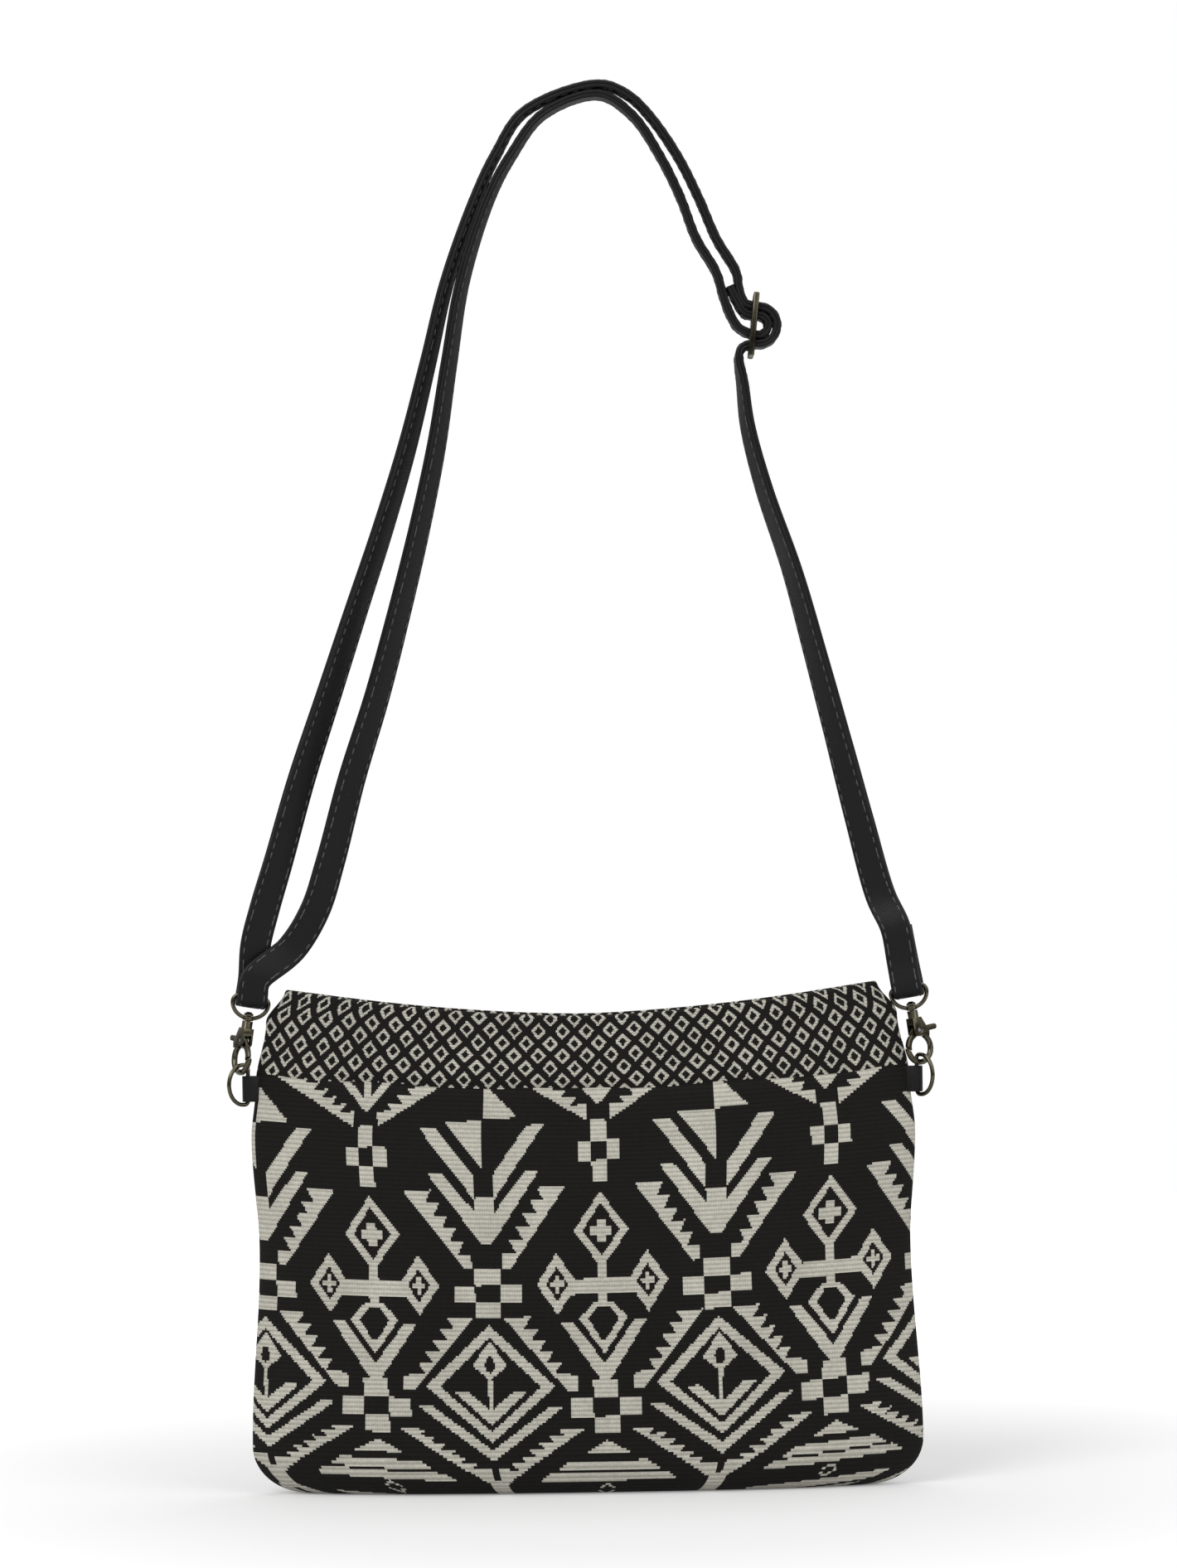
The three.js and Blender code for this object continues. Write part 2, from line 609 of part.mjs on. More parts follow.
// Gate: a heel on the pin, an arm that closes the claw, and a thumb lever on the far side.
function hookGate() {
  const inner = CLAW_RADIUS - GATE_WIDTH / 2;
  const outer = CLAW_RADIUS + GATE_WIDTH / 2;
  const arm = new THREE.Shape();
  arm.absarc(0, CLAW_RADIUS, outer, degrees(110), degrees(190), false);
  arm.absarc(0, CLAW_RADIUS, inner, degrees(190), degrees(110), true);
  const reach = new THREE.Shape().absarc(0, PIN_HEIGHT, GATE_REACH, 0, 2 * Math.PI, false);
  const heel = new THREE.Shape().absarc(0, PIN_HEIGHT, HEEL_DIAMETER / 2, 0, 2 * Math.PI, false);
  const root = degrees(125);
  const web = outlineShape([
    [HEEL_DIAMETER / 3, PIN_HEIGHT - HEEL_DIAMETER / 3],
    [-HEEL_DIAMETER / 3, PIN_HEIGHT + HEEL_DIAMETER / 3],
    [outer * Math.cos(root), CLAW_RADIUS + outer * Math.sin(root)],
    [inner * Math.cos(root), CLAW_RADIUS + inner * Math.sin(root)],
  ]);
  const lever = new THREE.Shape();
  const leverHalf = LEVER_HEIGHT / 2;
  lever.moveTo(0, PIN_HEIGHT + leverHalf);
  lever.lineTo(0, PIN_HEIGHT - leverHalf);
  lever.absarc(LEVER_REACH - leverHalf, PIN_HEIGHT, leverHalf, -Math.PI / 2, Math.PI / 2, false);
  const bore = new THREE.CylinderGeometry(PIN_DIAMETER / 2 + CLEARANCE, PIN_DIAMETER / 2 + CLEARANCE,
    2 * BODY_THICKNESS, 12).translate(0, 0, PIN_HEIGHT);
  const cut = (shape) => solidOf(plate(shape, GATE_NEAR, GATE_FAR, 10));
  const body = cut(arm).intersect(cut(reach)).add(cut(heel)).add(cut(web)).add(cut(lever));
  return geometryOf(body.subtract(solidOf(bore)));
}

function gatePin() {
  return new THREE.CylinderGeometry(PIN_DIAMETER / 2, PIN_DIAMETER / 2, BODY_THICKNESS, 12)
    .translate(0, 0, PIN_HEIGHT);
}

// Torsion spring beside the gate, drawn as the outer form of its few turns.
function gateSpring() {
  const inner = PIN_DIAMETER / 2 + CLEARANCE;
  const outer = inner + SPRING_WALL;
  const low = GATE_FAR + CLEARANCE;
  const high = low + SPRING_WIDTH;
  const profile = [[inner, low], [outer, low], [outer, high], [inner, high], [inner, low]];
  const points = profile.map(([radius, height]) => new THREE.Vector2(radius, height));
  return new THREE.LatheGeometry(points, 14).translate(0, 0, PIN_HEIGHT);
}

// Eye: a wire loop with a straight bar for the strap and a bored boss that the post turns in.
function hookEye() {
  const half = STRAP_WIDTH / 2 + EASE + EYE_WIRE / 2;
  const bowTop = EYE_BAR - EYE_CORNER;
  const path = new THREE.Path();
  path.moveTo(0, EYE_LOW);
  path.absellipse(0, bowTop, half, bowTop - EYE_LOW, -Math.PI / 2, 0, false);
  path.quadraticCurveTo(half, EYE_BAR, half - EYE_CORNER, EYE_BAR);
  path.lineTo(EYE_CORNER - half, EYE_BAR);
  path.quadraticCurveTo(-half, EYE_BAR, -half, bowTop);
  path.absellipse(0, bowTop, half, bowTop - EYE_LOW, Math.PI, 1.5 * Math.PI, false);
  const drum = (radius, low, high) =>
    solidOf(turned([[0, low], [radius, low], [radius, high], [0, high]], 14));
  const boss = drum(BOSS_DIAMETER / 2, BOSS_LOW, BOSS_TOP);
  const bore = drum(POST_DIAMETER / 2 + CLEARANCE, BARREL_TOP, HEAD_TOP);
  const loop = solidOf(wireLoop(path, EYE_WIRE, 34));
  return geometryOf(loop.add(boss).subtract(bore));
}

// Where a hook hangs: its claw crosses the ring's upper leg a little in front of the seam.
function linkX(side) {
  return BAR_X + HOOK_FORWARD * Math.tan(degrees(RING_YAW[side]));
}

function makeSide(side, sign, bag, strap) {
  const bagSide = new THREE.Group();
  bagSide.scale.x = sign;
  const tab = piece(`ring_tab_${side}`, ringTab(), "leather");
  const ring = piece(`d_ring_${side}`, dRing(), "gunmetal");
  tab.position.x = BAR_X;
  ring.position.set(BAR_X, 0, RING_CENTRE);
  ring.rotation.z = degrees(RING_YAW[side] - 90);
  bagSide.add(tab, ring);
  bag.add(bagSide);

  const hanger = new THREE.Group();
  hanger.position.set(linkX(side), -HOOK_FORWARD, CLAW_HEIGHT);
  hanger.rotation.y = -degrees(HOOK_LEAN);
  const swivel = new THREE.Group();
  swivel.rotation.z = degrees(HOOK_YAW[side]);
  swivel.add(
    piece(`hook_${side}`, hookBody(), "gunmetal"),
    piece(`hook_gate_${side}`, hookGate(), "gunmetal"),
    piece(`gate_pin_${side}`, gatePin(), "steel"),
    piece(`gate_spring_${side}`, gateSpring(), "steel"),
  );
  const eye = piece(`hook_eye_${side}`, hookEye(), "gunmetal");
  eye.rotation.z = -degrees(EYE_YAW);
  hanger.add(swivel, eye);
  const strapSide = new THREE.Group();
  strapSide.scale.x = sign;
  strapSide.add(hanger);
  strap.add(strapSide);
}

// Frame of an eye's bar: its middle, the way along it, the way to its front, and the way up the strap.
function eyeFrame(side, sign) {
  const lean = degrees(HOOK_LEAN);
  const yaw = degrees(EYE_YAW);
  const up = new THREE.Vector3(-sign * Math.sin(lean), 0, Math.cos(lean));
  const level = new THREE.Vector3(sign * Math.cos(lean), 0, Math.sin(lean));
  const along = level.clone().multiplyScalar(Math.cos(yaw)).add(new THREE.Vector3(0, -Math.sin(yaw), 0));
  const front = level.clone().multiplyScalar(-Math.sin(yaw)).add(new THREE.Vector3(0, -Math.cos(yaw), 0));
  const claw = new THREE.Vector3(sign * linkX(side), -HOOK_FORWARD, CLAW_HEIGHT);
  const middle = claw.addScaledVector(up, EYE_BAR);
  return { middle, along, front, up };
}

const LEFT_EYE = eyeFrame("left", -1);
const RIGHT_EYE = eyeFrame("right", 1);
const CROWN = new THREE.Vector3(CROWN_SHIFT, 0, CLAW_HEIGHT + EYE_BAR + STRAP_RISE);
const ADJUSTER = new THREE.Vector3(CROWN.x + ADJUSTER_REACH, 0, CROWN.z - ADJUSTER_DROP);
const LAYER = STRAP_THICKNESS + CLEARANCE;
const EYE_TURN = EYE_WIRE / 2 + CLEARANCE + STRAP_THICKNESS / 2;
const SEWN_TURN = (ADJUSTER_BAR / 2) * Math.SQRT2 + CLEARANCE + ADJUSTER_SLACK / 2 + STRAP_THICKNESS / 2;
const RUNNING_TURN = SEWN_TURN + LAYER;

// Strap route points as shares of the way from an end to the crown or the adjuster, with the strap's twist.
const LEFT_INNER = [
  [0.845, 0.979, 2], [0.755, 0.933, 5], [0.693, 0.887, 8], [0.616, 0.795, 13], [0.574, 0.703, 19],
  [0.535, 0.61, 26], [0.484, 0.518, 32], [0.425, 0.426, 38], [0.36, 0.333, 45], [0.286, 0.241, 54],
  [0.223, 0.149, 64], [0.178, 0.095, 72], [0.112, 0.053, 80],
];
const LEFT_OUTER = [
  [0.012, 0.057, 82], [0.038, 0.097, 74], [0.079, 0.15, 64], [0.147, 0.242, 54], [0.225, 0.334, 45],
  [0.303, 0.426, 38], [0.382, 0.518, 32], [0.454, 0.61, 26], [0.515, 0.703, 19], [0.573, 0.795, 13],
  [0.656, 0.887, 8], [0.713, 0.935, 5], [0.793, 0.982, 2],
];
const RIGHT_OUTER = [
  [0.19, 0.002, 0], [0.335, 0.094, 0], [0.515, 0.268, 0], [0.649, 0.447, 0], [0.764, 0.627, 0],
];
const RIGHT_INNER = [[0.63, 0.624, 0], [0.53, 0.446, 0], [0.4, 0.268, 0], [0.219, 0.09, 0]];
const RIGHT_RUN = [
  [-0.083, 0.088, -9], [-0.052, 0.151, -15], [0.056, 0.246, -22], [0.244, 0.371, -29], [0.397, 0.497, -37],
  [0.544, 0.623, -46], [0.687, 0.749, -60], [0.824, 0.862, -74],
];

function strapStops() {
  const stops = [];
  const add = (at, width, steps) => stops.push({ at, width, steps });
  const level = new THREE.Vector3(0, 1, 0);
  const twisted = (twist) => new THREE.Vector3(Math.sin(degrees(twist)), Math.cos(degrees(twist)), 0);
  const between = (from, to, points, steps) => {
    for (const [across, up, twist] of points) {
      const at = new THREE.Vector3(lerp(from.x, to.x, across), 0, lerp(from.z, to.z, up));
      add(at, twisted(twist), steps);
    }
  };
  const lean = degrees(ADJUSTER_LEAN);
  const beside = (right, up) => add(new THREE.Vector3(
    ADJUSTER.x + right * Math.cos(lean) + up * Math.sin(lean), 0,
    ADJUSTER.z - right * Math.sin(lean) + up * Math.cos(lean)), level, 1);
  const turnAtAdjuster = (radius, from, to, count) => {
    for (let step = 0; step <= count; step += 1) {
      const angle = degrees(lerp(from, to, step / count));
      beside(ADJUSTER_ROOM + radius * Math.cos(angle), radius * Math.sin(angle));
    }
  };
  const atEye = ({ middle, along, front, up }, sign, forward, rise, steps = 1) => {
    const at = middle.clone().addScaledVector(front, forward).addScaledVector(up, rise);
    add(at, along.clone().multiplyScalar(sign), steps);
  };
  const turnAtEye = (eye, sign) => {
    for (let step = 0; step <= 6; step += 1) {
      const angle = (step / 6) * Math.PI;
      atEye(eye, sign, EYE_TURN * Math.cos(angle), -EYE_TURN * Math.sin(angle));
    }
  };
  const leftEye = LEFT_EYE.middle;
  const rightEye = RIGHT_EYE.middle;

  // Sewn tail, round the adjuster's middle bar and up the lower layer to the crown
  beside(-3 * LAYER, 4 * LAYER);
  beside(-2 * LAYER, 2.3 * LAYER);
  beside(-LAYER, SEWN_TURN + EASE);
  turnAtAdjuster(SEWN_TURN, 90, -90, 6);
  beside(-1.5 * LAYER, -SEWN_TURN / 2);
  beside(-2.7 * LAYER, LAYER);
  beside(-3.6 * LAYER, 2.9 * LAYER);
  beside(-4.6 * LAYER, 5.4 * LAYER);
  between(CROWN, ADJUSTER, RIGHT_INNER, 2);
  add(CROWN.clone(), level, 2);
  between(leftEye, CROWN, LEFT_INNER, 2);
  // Down the front of the left eye, round its bar and up the upper layer over the crown
  atEye(LEFT_EYE, -1, EYE_TURN + EASE, 2.6 * EYE_TURN);
  turnAtEye(LEFT_EYE, -1);
  atEye(LEFT_EYE, -1, -EYE_TURN - EASE, 2.6 * EYE_TURN);
  between(leftEye, CROWN, LEFT_OUTER, 2);
  add(CROWN.clone().add(new THREE.Vector3(0, 0, LAYER + EASE)), level, 2);
  between(CROWN, ADJUSTER, RIGHT_OUTER, 2);
  // Over the sewn turn, through the adjuster and down to the right eye
  beside(-2.4 * LAYER, 5.6 * LAYER);
  beside(-1.9 * LAYER, 3.7 * LAYER);
  beside(-1.1 * LAYER, RUNNING_TURN + 2 * EASE);
  turnAtAdjuster(RUNNING_TURN, 90, -90, 8);
  beside(-0.9 * LAYER, -RUNNING_TURN - 4 * EASE);
  beside(-1.3 * LAYER, -3.4 * LAYER);
  between(ADJUSTER, rightEye, RIGHT_RUN, 2);
  atEye(RIGHT_EYE, -1, LAYER / 2, SEWN_TAIL, 2);
  atEye(RIGHT_EYE, -1, LAYER / 2, STITCH_START);
  turnAtEye(RIGHT_EYE, -1);
  atEye(RIGHT_EYE, -1, -LAYER / 2, STITCH_START);
  atEye(RIGHT_EYE, -1, -LAYER / 2, SEWN_TAIL);
  return stops;
}

// The strap: two leather layers sewn into one flat band of a fixed section.
function strapBand() {
  const stops = strapStops();
  const curve = new THREE.CatmullRomCurve3(stops.map(({ at }) => at), false, "centripetal");
  const spans = stops.length - 1;
  const stations = [];
  const addStation = (span, share) => {
    const place = (span + share) / spans;
    const along = curve.getTangent(place);
    const after = stops[Math.min(span + 1, spans)].width;
    const across = stops[span].width.clone().lerp(after, share);
    across.addScaledVector(along, -across.dot(along)).normalize();
    stations.push({ at: curve.getPoint(place), across, out: along.clone().cross(across) });
  };
  for (let span = 0; span < spans; span += 1) {
    for (let step = 0; step < stops[span].steps; step += 1) {
      addStation(span, step / stops[span].steps);
    }
  }
  addStation(spans, 0);
  const w = STRAP_WIDTH / 2;
  const t = STRAP_THICKNESS / 2;
  const c = STRAP_CHAMFER;
  const outline = [
    [c - w, -t], [w - c, -t], [w, c - t], [w, t - c],
    [w - c, t], [c - w, t], [-w, t - c], [-w, c - t],
  ];
  return sweep(stations, outline, false);
}

// Adjuster: a flat frame with three bars across the strap.
function strapAdjuster() {
  const railInner = STRAP_WIDTH / 2 + EASE;
  const railOuter = railInner + ADJUSTER_BAR;
  const half = ADJUSTER_LENGTH / 2;
  const bar = ADJUSTER_BAR / 2;
  const rectangle = (low, high, reach) =>
    [[-reach, low], [reach, low], [reach, high], [-reach, high]].map(([x, y]) => new THREE.Vector2(x, y));
  const shape = new THREE.Shape(rectangle(-half, half, railOuter));
  shape.holes.push(new THREE.Path(rectangle(bar, half - ADJUSTER_BAR, railInner)));
  shape.holes.push(new THREE.Path(rectangle(ADJUSTER_BAR - half, -bar, railInner)));
  return plate(shape, -bar, bar).rotateZ(Math.PI / 2);
}

const carrier = new THREE.Group();
const bag = new THREE.Group();
const strap = new THREE.Group();
makePouch(bag);
makeZip(bag);
makeSide("left", -1, bag, strap);
makeSide("right", 1, bag, strap);
strap.add(piece("strap", strapBand(), "leather"));
const adjuster = piece("strap_adjuster", strapAdjuster(), "gunmetal");
adjuster.position.copy(ADJUSTER);
adjuster.rotation.y = degrees(ADJUSTER_LEAN);
strap.add(adjuster);
carrier.add(bag, strap);
carrier.position.set(-CROWN.x, 0, STRAP_THICKNESS / 2 - CROWN.z);

export default carrier;
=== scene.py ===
import math
import bmesh
import bpy
import numpy as np
from mathutils import Matrix, Vector


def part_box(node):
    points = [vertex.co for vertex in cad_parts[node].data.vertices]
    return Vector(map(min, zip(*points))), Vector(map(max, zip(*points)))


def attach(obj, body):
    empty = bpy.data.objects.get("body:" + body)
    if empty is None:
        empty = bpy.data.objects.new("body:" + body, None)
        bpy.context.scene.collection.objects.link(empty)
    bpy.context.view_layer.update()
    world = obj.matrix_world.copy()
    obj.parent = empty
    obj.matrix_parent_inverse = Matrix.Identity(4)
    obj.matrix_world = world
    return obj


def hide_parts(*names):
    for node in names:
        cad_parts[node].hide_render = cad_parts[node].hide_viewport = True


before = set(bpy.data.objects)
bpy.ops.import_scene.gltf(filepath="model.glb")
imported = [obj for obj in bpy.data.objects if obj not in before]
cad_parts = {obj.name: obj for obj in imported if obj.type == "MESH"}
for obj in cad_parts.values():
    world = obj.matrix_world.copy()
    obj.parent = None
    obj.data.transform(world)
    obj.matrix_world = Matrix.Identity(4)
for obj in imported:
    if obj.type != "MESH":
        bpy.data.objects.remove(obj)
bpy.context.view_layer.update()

# Main panels: two rectangles of heavy jacquard, woven in black and ecru yarns.
# Each is sewn to its yoke, to the other panel down the sides and along the middle of the base,
# and the filled pouch holds it in a soft lens shape.
CROWN_SHIFT = 13.5
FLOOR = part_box("front_panel")[0].z
SEAM_GAP = 0.15
PANEL_COLUMNS, PANEL_ROWS = 380, 200
BASE_HALF, BASE_FLAT, BASE_TUCK = 120, 13, 6
BELLY_HALF, BELLY_HEIGHT, BELLY_DEPTH, BELLY_TOP = 144.0, 20.0, 22.0, 80.0
EDGE_HEIGHT = 18
SEAM_HEIGHT, SEAM_SAG, SEAM_LAP, SEAM_DIP, SEAM_DIP_RUN = 180, 7.7, 0.4, 1.5, 2.4
TOP_HEIGHT, TOP_SAG, MOUTH_DEPTH = 216.0, 12.5, 13.0
SAG_POWER, LENS_POWER, LENS_ROUNDING = 1.6, 2.6, 0.7
LENS_HALF, LENS_DEPTH = 141, 19
BASE_RUN, EDGE_RUN, WALL_RUN = 13.0, 21.8, 158.0
OUTLINE_LEVELS = [BELLY_HEIGHT, 105.0, 152.0, 175.6, 202.0, TOP_HEIGHT]
OUTLINE_HALVES = [BELLY_HALF, 139.8, 142.5, 140.3, 135.5, 127.0]
PANEL_WAVE = 0.7
BLACK_YARN, ECRU_YARN = "161513", "c4c1b5"


def linear(colour):
    """Linear RGBA of an sRGB hex colour."""
    parts = [int(colour[i:i + 2], 16) / 255 for i in (0, 2, 4)]
    return [c / 12.92 if c <= 0.04045 else ((c + 0.055) / 1.055) ** 2.4 for c in parts] + [1.0]


def add(tree, kind, links=None, **settings):
    """Adds one node with its settings, and links or sets its inputs."""
    made = tree.nodes.new(kind)
    for key, value in settings.items():
        setattr(made, key, value)
    for key, value in (links or {}).items():
        if isinstance(value, bpy.types.NodeSocket):
            tree.links.new(value, made.inputs[key])
        else:
            made.inputs[key].default_value = value
    return made


def finish(name):
    """A new material, with its tree and its shader."""
    made = bpy.data.materials.new(name)
    made.use_nodes = True
    return made, made.node_tree, made.node_tree.nodes["Principled BSDF"]


def smooth_through(height, levels, values):
    """A smooth value that passes through given levels."""
    height = np.clip(height, levels[0], levels[-1])
    above = np.clip(np.searchsorted(levels, height, side="right"), 1, len(levels) - 1)
    levels, values = np.array(levels), np.array(values)
    share = (height - levels[above - 1]) / (levels[above] - levels[above - 1])
    share = share * share * (3 - 2 * share)
    return values[above - 1] + (values[above] - values[above - 1]) * share


def half_width(height):
    """Half of the pouch's width at a height: a round corner at the base, then the side seam."""
    rise = 1 - np.clip(height, 0, BELLY_HEIGHT) / BELLY_HEIGHT
    low = BASE_HALF + (BELLY_HALF - BASE_HALF) * np.sqrt(np.clip(1 - rise * rise, 0, 1))
    return np.where(height < BELLY_HEIGHT, low, smooth_through(height, OUTLINE_LEVELS, OUTLINE_HALVES))


def half_depth(height):
    """Half of the pouch's depth at its middle, full at the belly and slimmer at the mouth."""
    return smooth_through(height, [BELLY_TOP, TOP_HEIGHT], [BELLY_DEPTH, MOUTH_DEPTH])


def lens(across):
    """The share of the depth that is left from the middle (0) out to a side seam (1)."""
    return np.clip(1 - np.abs(across) ** LENS_POWER, 0, 1) ** LENS_ROUNDING


def yoke_seam(across):
    """Height of the sagging seam between panel and yoke."""
    return SEAM_HEIGHT - SEAM_SAG * (1 - np.abs(across) ** SAG_POWER)


def top_edge(across):
    """Height of the sagging top edge."""
    return TOP_HEIGHT - TOP_SAG * (1 - np.abs(across) ** SAG_POWER)


# Even steps along the lens curve, so that every woven cell has the same width on the cloth.
lens_samples = np.sin(np.linspace(-0.5, 0.5, 4001) * math.pi)
lens_steps = np.hypot(np.diff(lens_samples) * LENS_HALF, np.diff(lens(lens_samples)) * LENS_DEPTH)
lens_run = np.concatenate([[0], np.cumsum(lens_steps)])
CLOTH_RUN = float(lens_run[-1])


def across_at(share):
    """The place across the pouch of a share of the cloth's width."""
    return np.interp(share * CLOTH_RUN, lens_run, lens_samples)


def grid_piece(name, columns, rows, place, closed=False, flipped=False):
    """A grid placed in bag millimetres by the two shares of its points, which are also its UV map."""
    bm = bmesh.new()
    bmesh.ops.create_grid(bm, x_segments=columns, y_segments=rows, size=0.5)
    mesh = bpy.data.meshes.new(name)
    bm.to_mesh(mesh)
    bm.free()
    flat = np.zeros(len(mesh.vertices) * 3)
    mesh.vertices.foreach_get("co", flat)
    shares = np.round((flat.reshape(-1, 3)[:, :2] + 0.5) * [columns, rows]) / [columns, rows]
    corners = np.zeros(len(mesh.loops), dtype=int)
    mesh.loops.foreach_get("vertex_index", corners)
    layer = mesh.uv_layers.new(name="weave")
    layer.data.foreach_set("uv", shares[corners].astype(np.float32).ravel())
    cells = shares[corners].reshape(-1, 4, 2).mean(axis=1)
    x, y, z = place(shares[:, 0], shares[:, 1])
    points = np.stack([(x - CROWN_SHIFT) / 1000, y / 1000, z / 1000 + FLOOR], axis=1)
    mesh.vertices.foreach_set("co", points.ravel())
    if flipped:
        mesh.flip_normals()
    if closed:
        bm = bmesh.new()
        bm.from_mesh(mesh)
        bmesh.ops.remove_doubles(bm, verts=bm.verts, dist=2e-6)
        bmesh.ops.holes_fill(bm, edges=[e for e in bm.edges if e.is_boundary], sides=0)
        bmesh.ops.recalc_face_normals(bm, faces=bm.faces)
        bm.to_mesh(mesh)
        bm.free()
    mesh.polygons.foreach_set("use_smooth", [True] * len(mesh.polygons))
    made = bpy.data.objects.new(name, mesh)
    bpy.context.scene.collection.objects.link(made)
    return made, cells


def dress(piece, material, slot, body, *nodes):
    """Gives a piece its finish and its place in the frame."""
    piece.data.materials.append(material)
    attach(piece, body)
    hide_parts(*nodes)


def panel_place(side, inset=0.0, top=None):
    """Points of one panel: across the cloth, and from the middle of the base up to its top line."""
    def place(share_across, share_up):
        across = across_at(share_across)
        run = share_up * (BASE_RUN + EDGE_RUN + WALL_RUN)
        flat = np.clip(run / BASE_RUN, 0, 1)
        turn = np.clip((run - BASE_RUN) / EDGE_RUN, 0, 1) * math.pi / 2
        rise = np.clip((run - BASE_RUN - EDGE_RUN) / WALL_RUN, 0, 1)
        line = yoke_seam(across) + SEAM_LAP if top is None else top
        height = inset + (EDGE_HEIGHT - inset) * (1 - np.cos(turn)) + (line - EDGE_HEIGHT) * rise
        edge = BASE_FLAT * flat + (BELLY_DEPTH - BASE_FLAT - inset) * np.sin(turn)
        depth = np.where(rise > 0, half_depth(height) - inset, edge)
        half = np.where(turn > 0, half_width(height), BASE_HALF - BASE_TUCK + BASE_TUCK * flat) - inset
        if top is None:
            seam = np.exp(-(((line - height) / SEAM_DIP_RUN) ** 2))
            x = across * half
            # Slow, uneven waves of the filled cloth.
            soft = np.sin(x / 24 + 1.3) * np.sin(height / 29 + 0.6) + 0.5 * np.sin(x / 12 - height / 17)
            depth = depth + PANEL_WAVE * soft * rise - SEAM_DIP * seam * (rise > 0)
        return across * half, side * (SEAM_GAP + (depth - SEAM_GAP) * lens(across)), height
    return place


def teeth(start, end, count, back):
    """Saw teeth from one point down to another, each cut back level with the tip of the next."""
    tips = [(start[0] + (end[0] - start[0]) * i / count, start[1] + (end[1] - start[1]) * i / count)
            for i in range(count + 1)]
    saw = [tips[0]]
    for tip, lower in zip(tips, tips[1:]):
        saw += [(tip[0] + back, lower[1]), lower]
    return saw


def block(left, low, right, high):
    """An upright rectangle."""
    return [(left, low), (right, low), (right, high), (left, high)]


# Figures of the repeat, in millimetres from the middle of their column and up from the base.
# Each is the right half of a mirrored figure: 1 is woven in ecru, and 0 cuts black out of it.
CROSS_COLUMN = [
    (1, [(-0.1, 163.5), (14.5, 180.6), (-0.1, 180.6)]),
    (0, [(1.5, 170.4), (10.3, 180.6), (1.5, 180.6)]),
    (1, [(5.1, 157.5), (42, 180.6)] + teeth((25.5, 180.6), (5.1, 164.1), 5, 2.4)),
    (1, block(-0.1, 148.7, 3.2, 157.8)), (1, block(3.2, 140.3, 8.8, 148.7)),
    (1, block(-0.1, 131.5, 3.2, 140.3)),
    (1, [(-0.1, 127.2), (12, 110.7), (2.1, 97.5), (2.1, 84), (-0.1, 84)]),
    (0, [(-0.1, 122.6), (8.2, 110.7), (-0.1, 99.6)]),
    (1, block(-0.1, 105.9, 2, 115.6)), (1, block(-0.1, 108.6, 4.8, 112.8)),
    (1, block(-0.1, 83.9, 15.5, 90.4)), (1, block(-0.1, 79, 2.1, 86)),
    (1, [(19.8, 75.5), (28.7, 88.6), (19.8, 101.7), (11, 88.6)]),
    (0, [(19.8, 81.3), (24.7, 88.6), (19.8, 95.9), (14.9, 88.6)]),
    (1, block(18.9, 84.9, 20.7, 92.3)), (1, block(16.9, 87.4, 22.7, 89.8)),
    (1, [(-0.1, 80.3), (4.3, 80.3), (10.5, 73.4), (-0.1, 58.2)]),
    (0, [(-0.1, 78.4), (2.8, 78.4), (6.6, 73.3), (1.4, 64.8), (-0.1, 64.4)]),
    (1, [(13.3, 72.3), (18.7, 72.3), (2.2, 47.6), (-0.1, 47.6), (-0.1, 54)]),
    (1, block(-0.1, 39.7, 5.4, 47.6)), (1, block(5.6, 31.7, 15.1, 39.7)), (1, block(-0.1, 24.4, 5.4, 31.7)),
    (1, [(-0.1, 21.5), (10.8, 15.8), (-0.1, 15.8)]),
    (1, [(-0.1, 12.6), (17.3, 12.6), (23.2, 8.5), (-0.1, 8.5)]),
    (1, [(-0.1, 7.4), (26.2, 7.4), (31.3, 3.9), (-0.1, 3.9)]),
    (1, [(-0.1, 3.2), (4, 0.5), (2.6, 0.5), (-0.1, 2)]),
]
DIAMOND_COLUMN = [
    (1, [(19.4, 156.5), (26.6, 156.5), (4.3, 125.3), (4.3, 135.8)]),
    (1, [(18.2, 137.2), (24.1, 137.2), (2.3, 106.4), (-0.1, 106.4),
         (-0.1, 126.1), (4.3, 126.1), (4.3, 119.9)]),
    (1, [(10.3, 95.9), (35, 129.8)] + teeth((23, 129.8), (6.9, 102), 5, 2.6) + [(6.9, 95.9)]),
    (1, block(-0.1, 88.6, 5.6, 95.9)), (1, block(5.7, 81.3, 14.8, 88.6)), (1, block(-0.1, 74.7, 5.6, 81.3)),
    (1, [(33.4, 43), (6.3, 74.9)] + teeth((18.4, 74.9), (34.2, 50.2), 5, -3.2) + [(37.8, 48.9), (37.8, 43)]),
    (1, [(-0.1, 71.6), (28.1, 45.1), (-0.1, 21.1)]), (0, [(-0.1, 66.4), (21.9, 45), (-0.1, 25.6)]),
    (1, [(-0.1, 64.8), (7.6, 54.3), (-0.1, 47.8)]),
    (0, [(-0.1, 50.8), (1.5, 51.7), (2.4, 54.4), (1.5, 57.2), (-0.1, 58.4)]),
    (1, block(-0.1, 34, 0.9, 50)), (1, [(9.6, 42.7), (15.6, 42.7), (-0.1, 28.5), (-0.1, 34.6)]),
    (1, [(25.5, 36.5), (31.7, 36.5), (-0.1, 12.9), (-0.1, 17.7)]),
    (1, [(4, 3), (40, 26.5)] + teeth((28.9, 26.3), (3, 9.5), 6, 3)
     + [(1.6, 9.5), (1.6, 5), (-0.1, 5), (-0.1, -1), (4, -1)]),
]
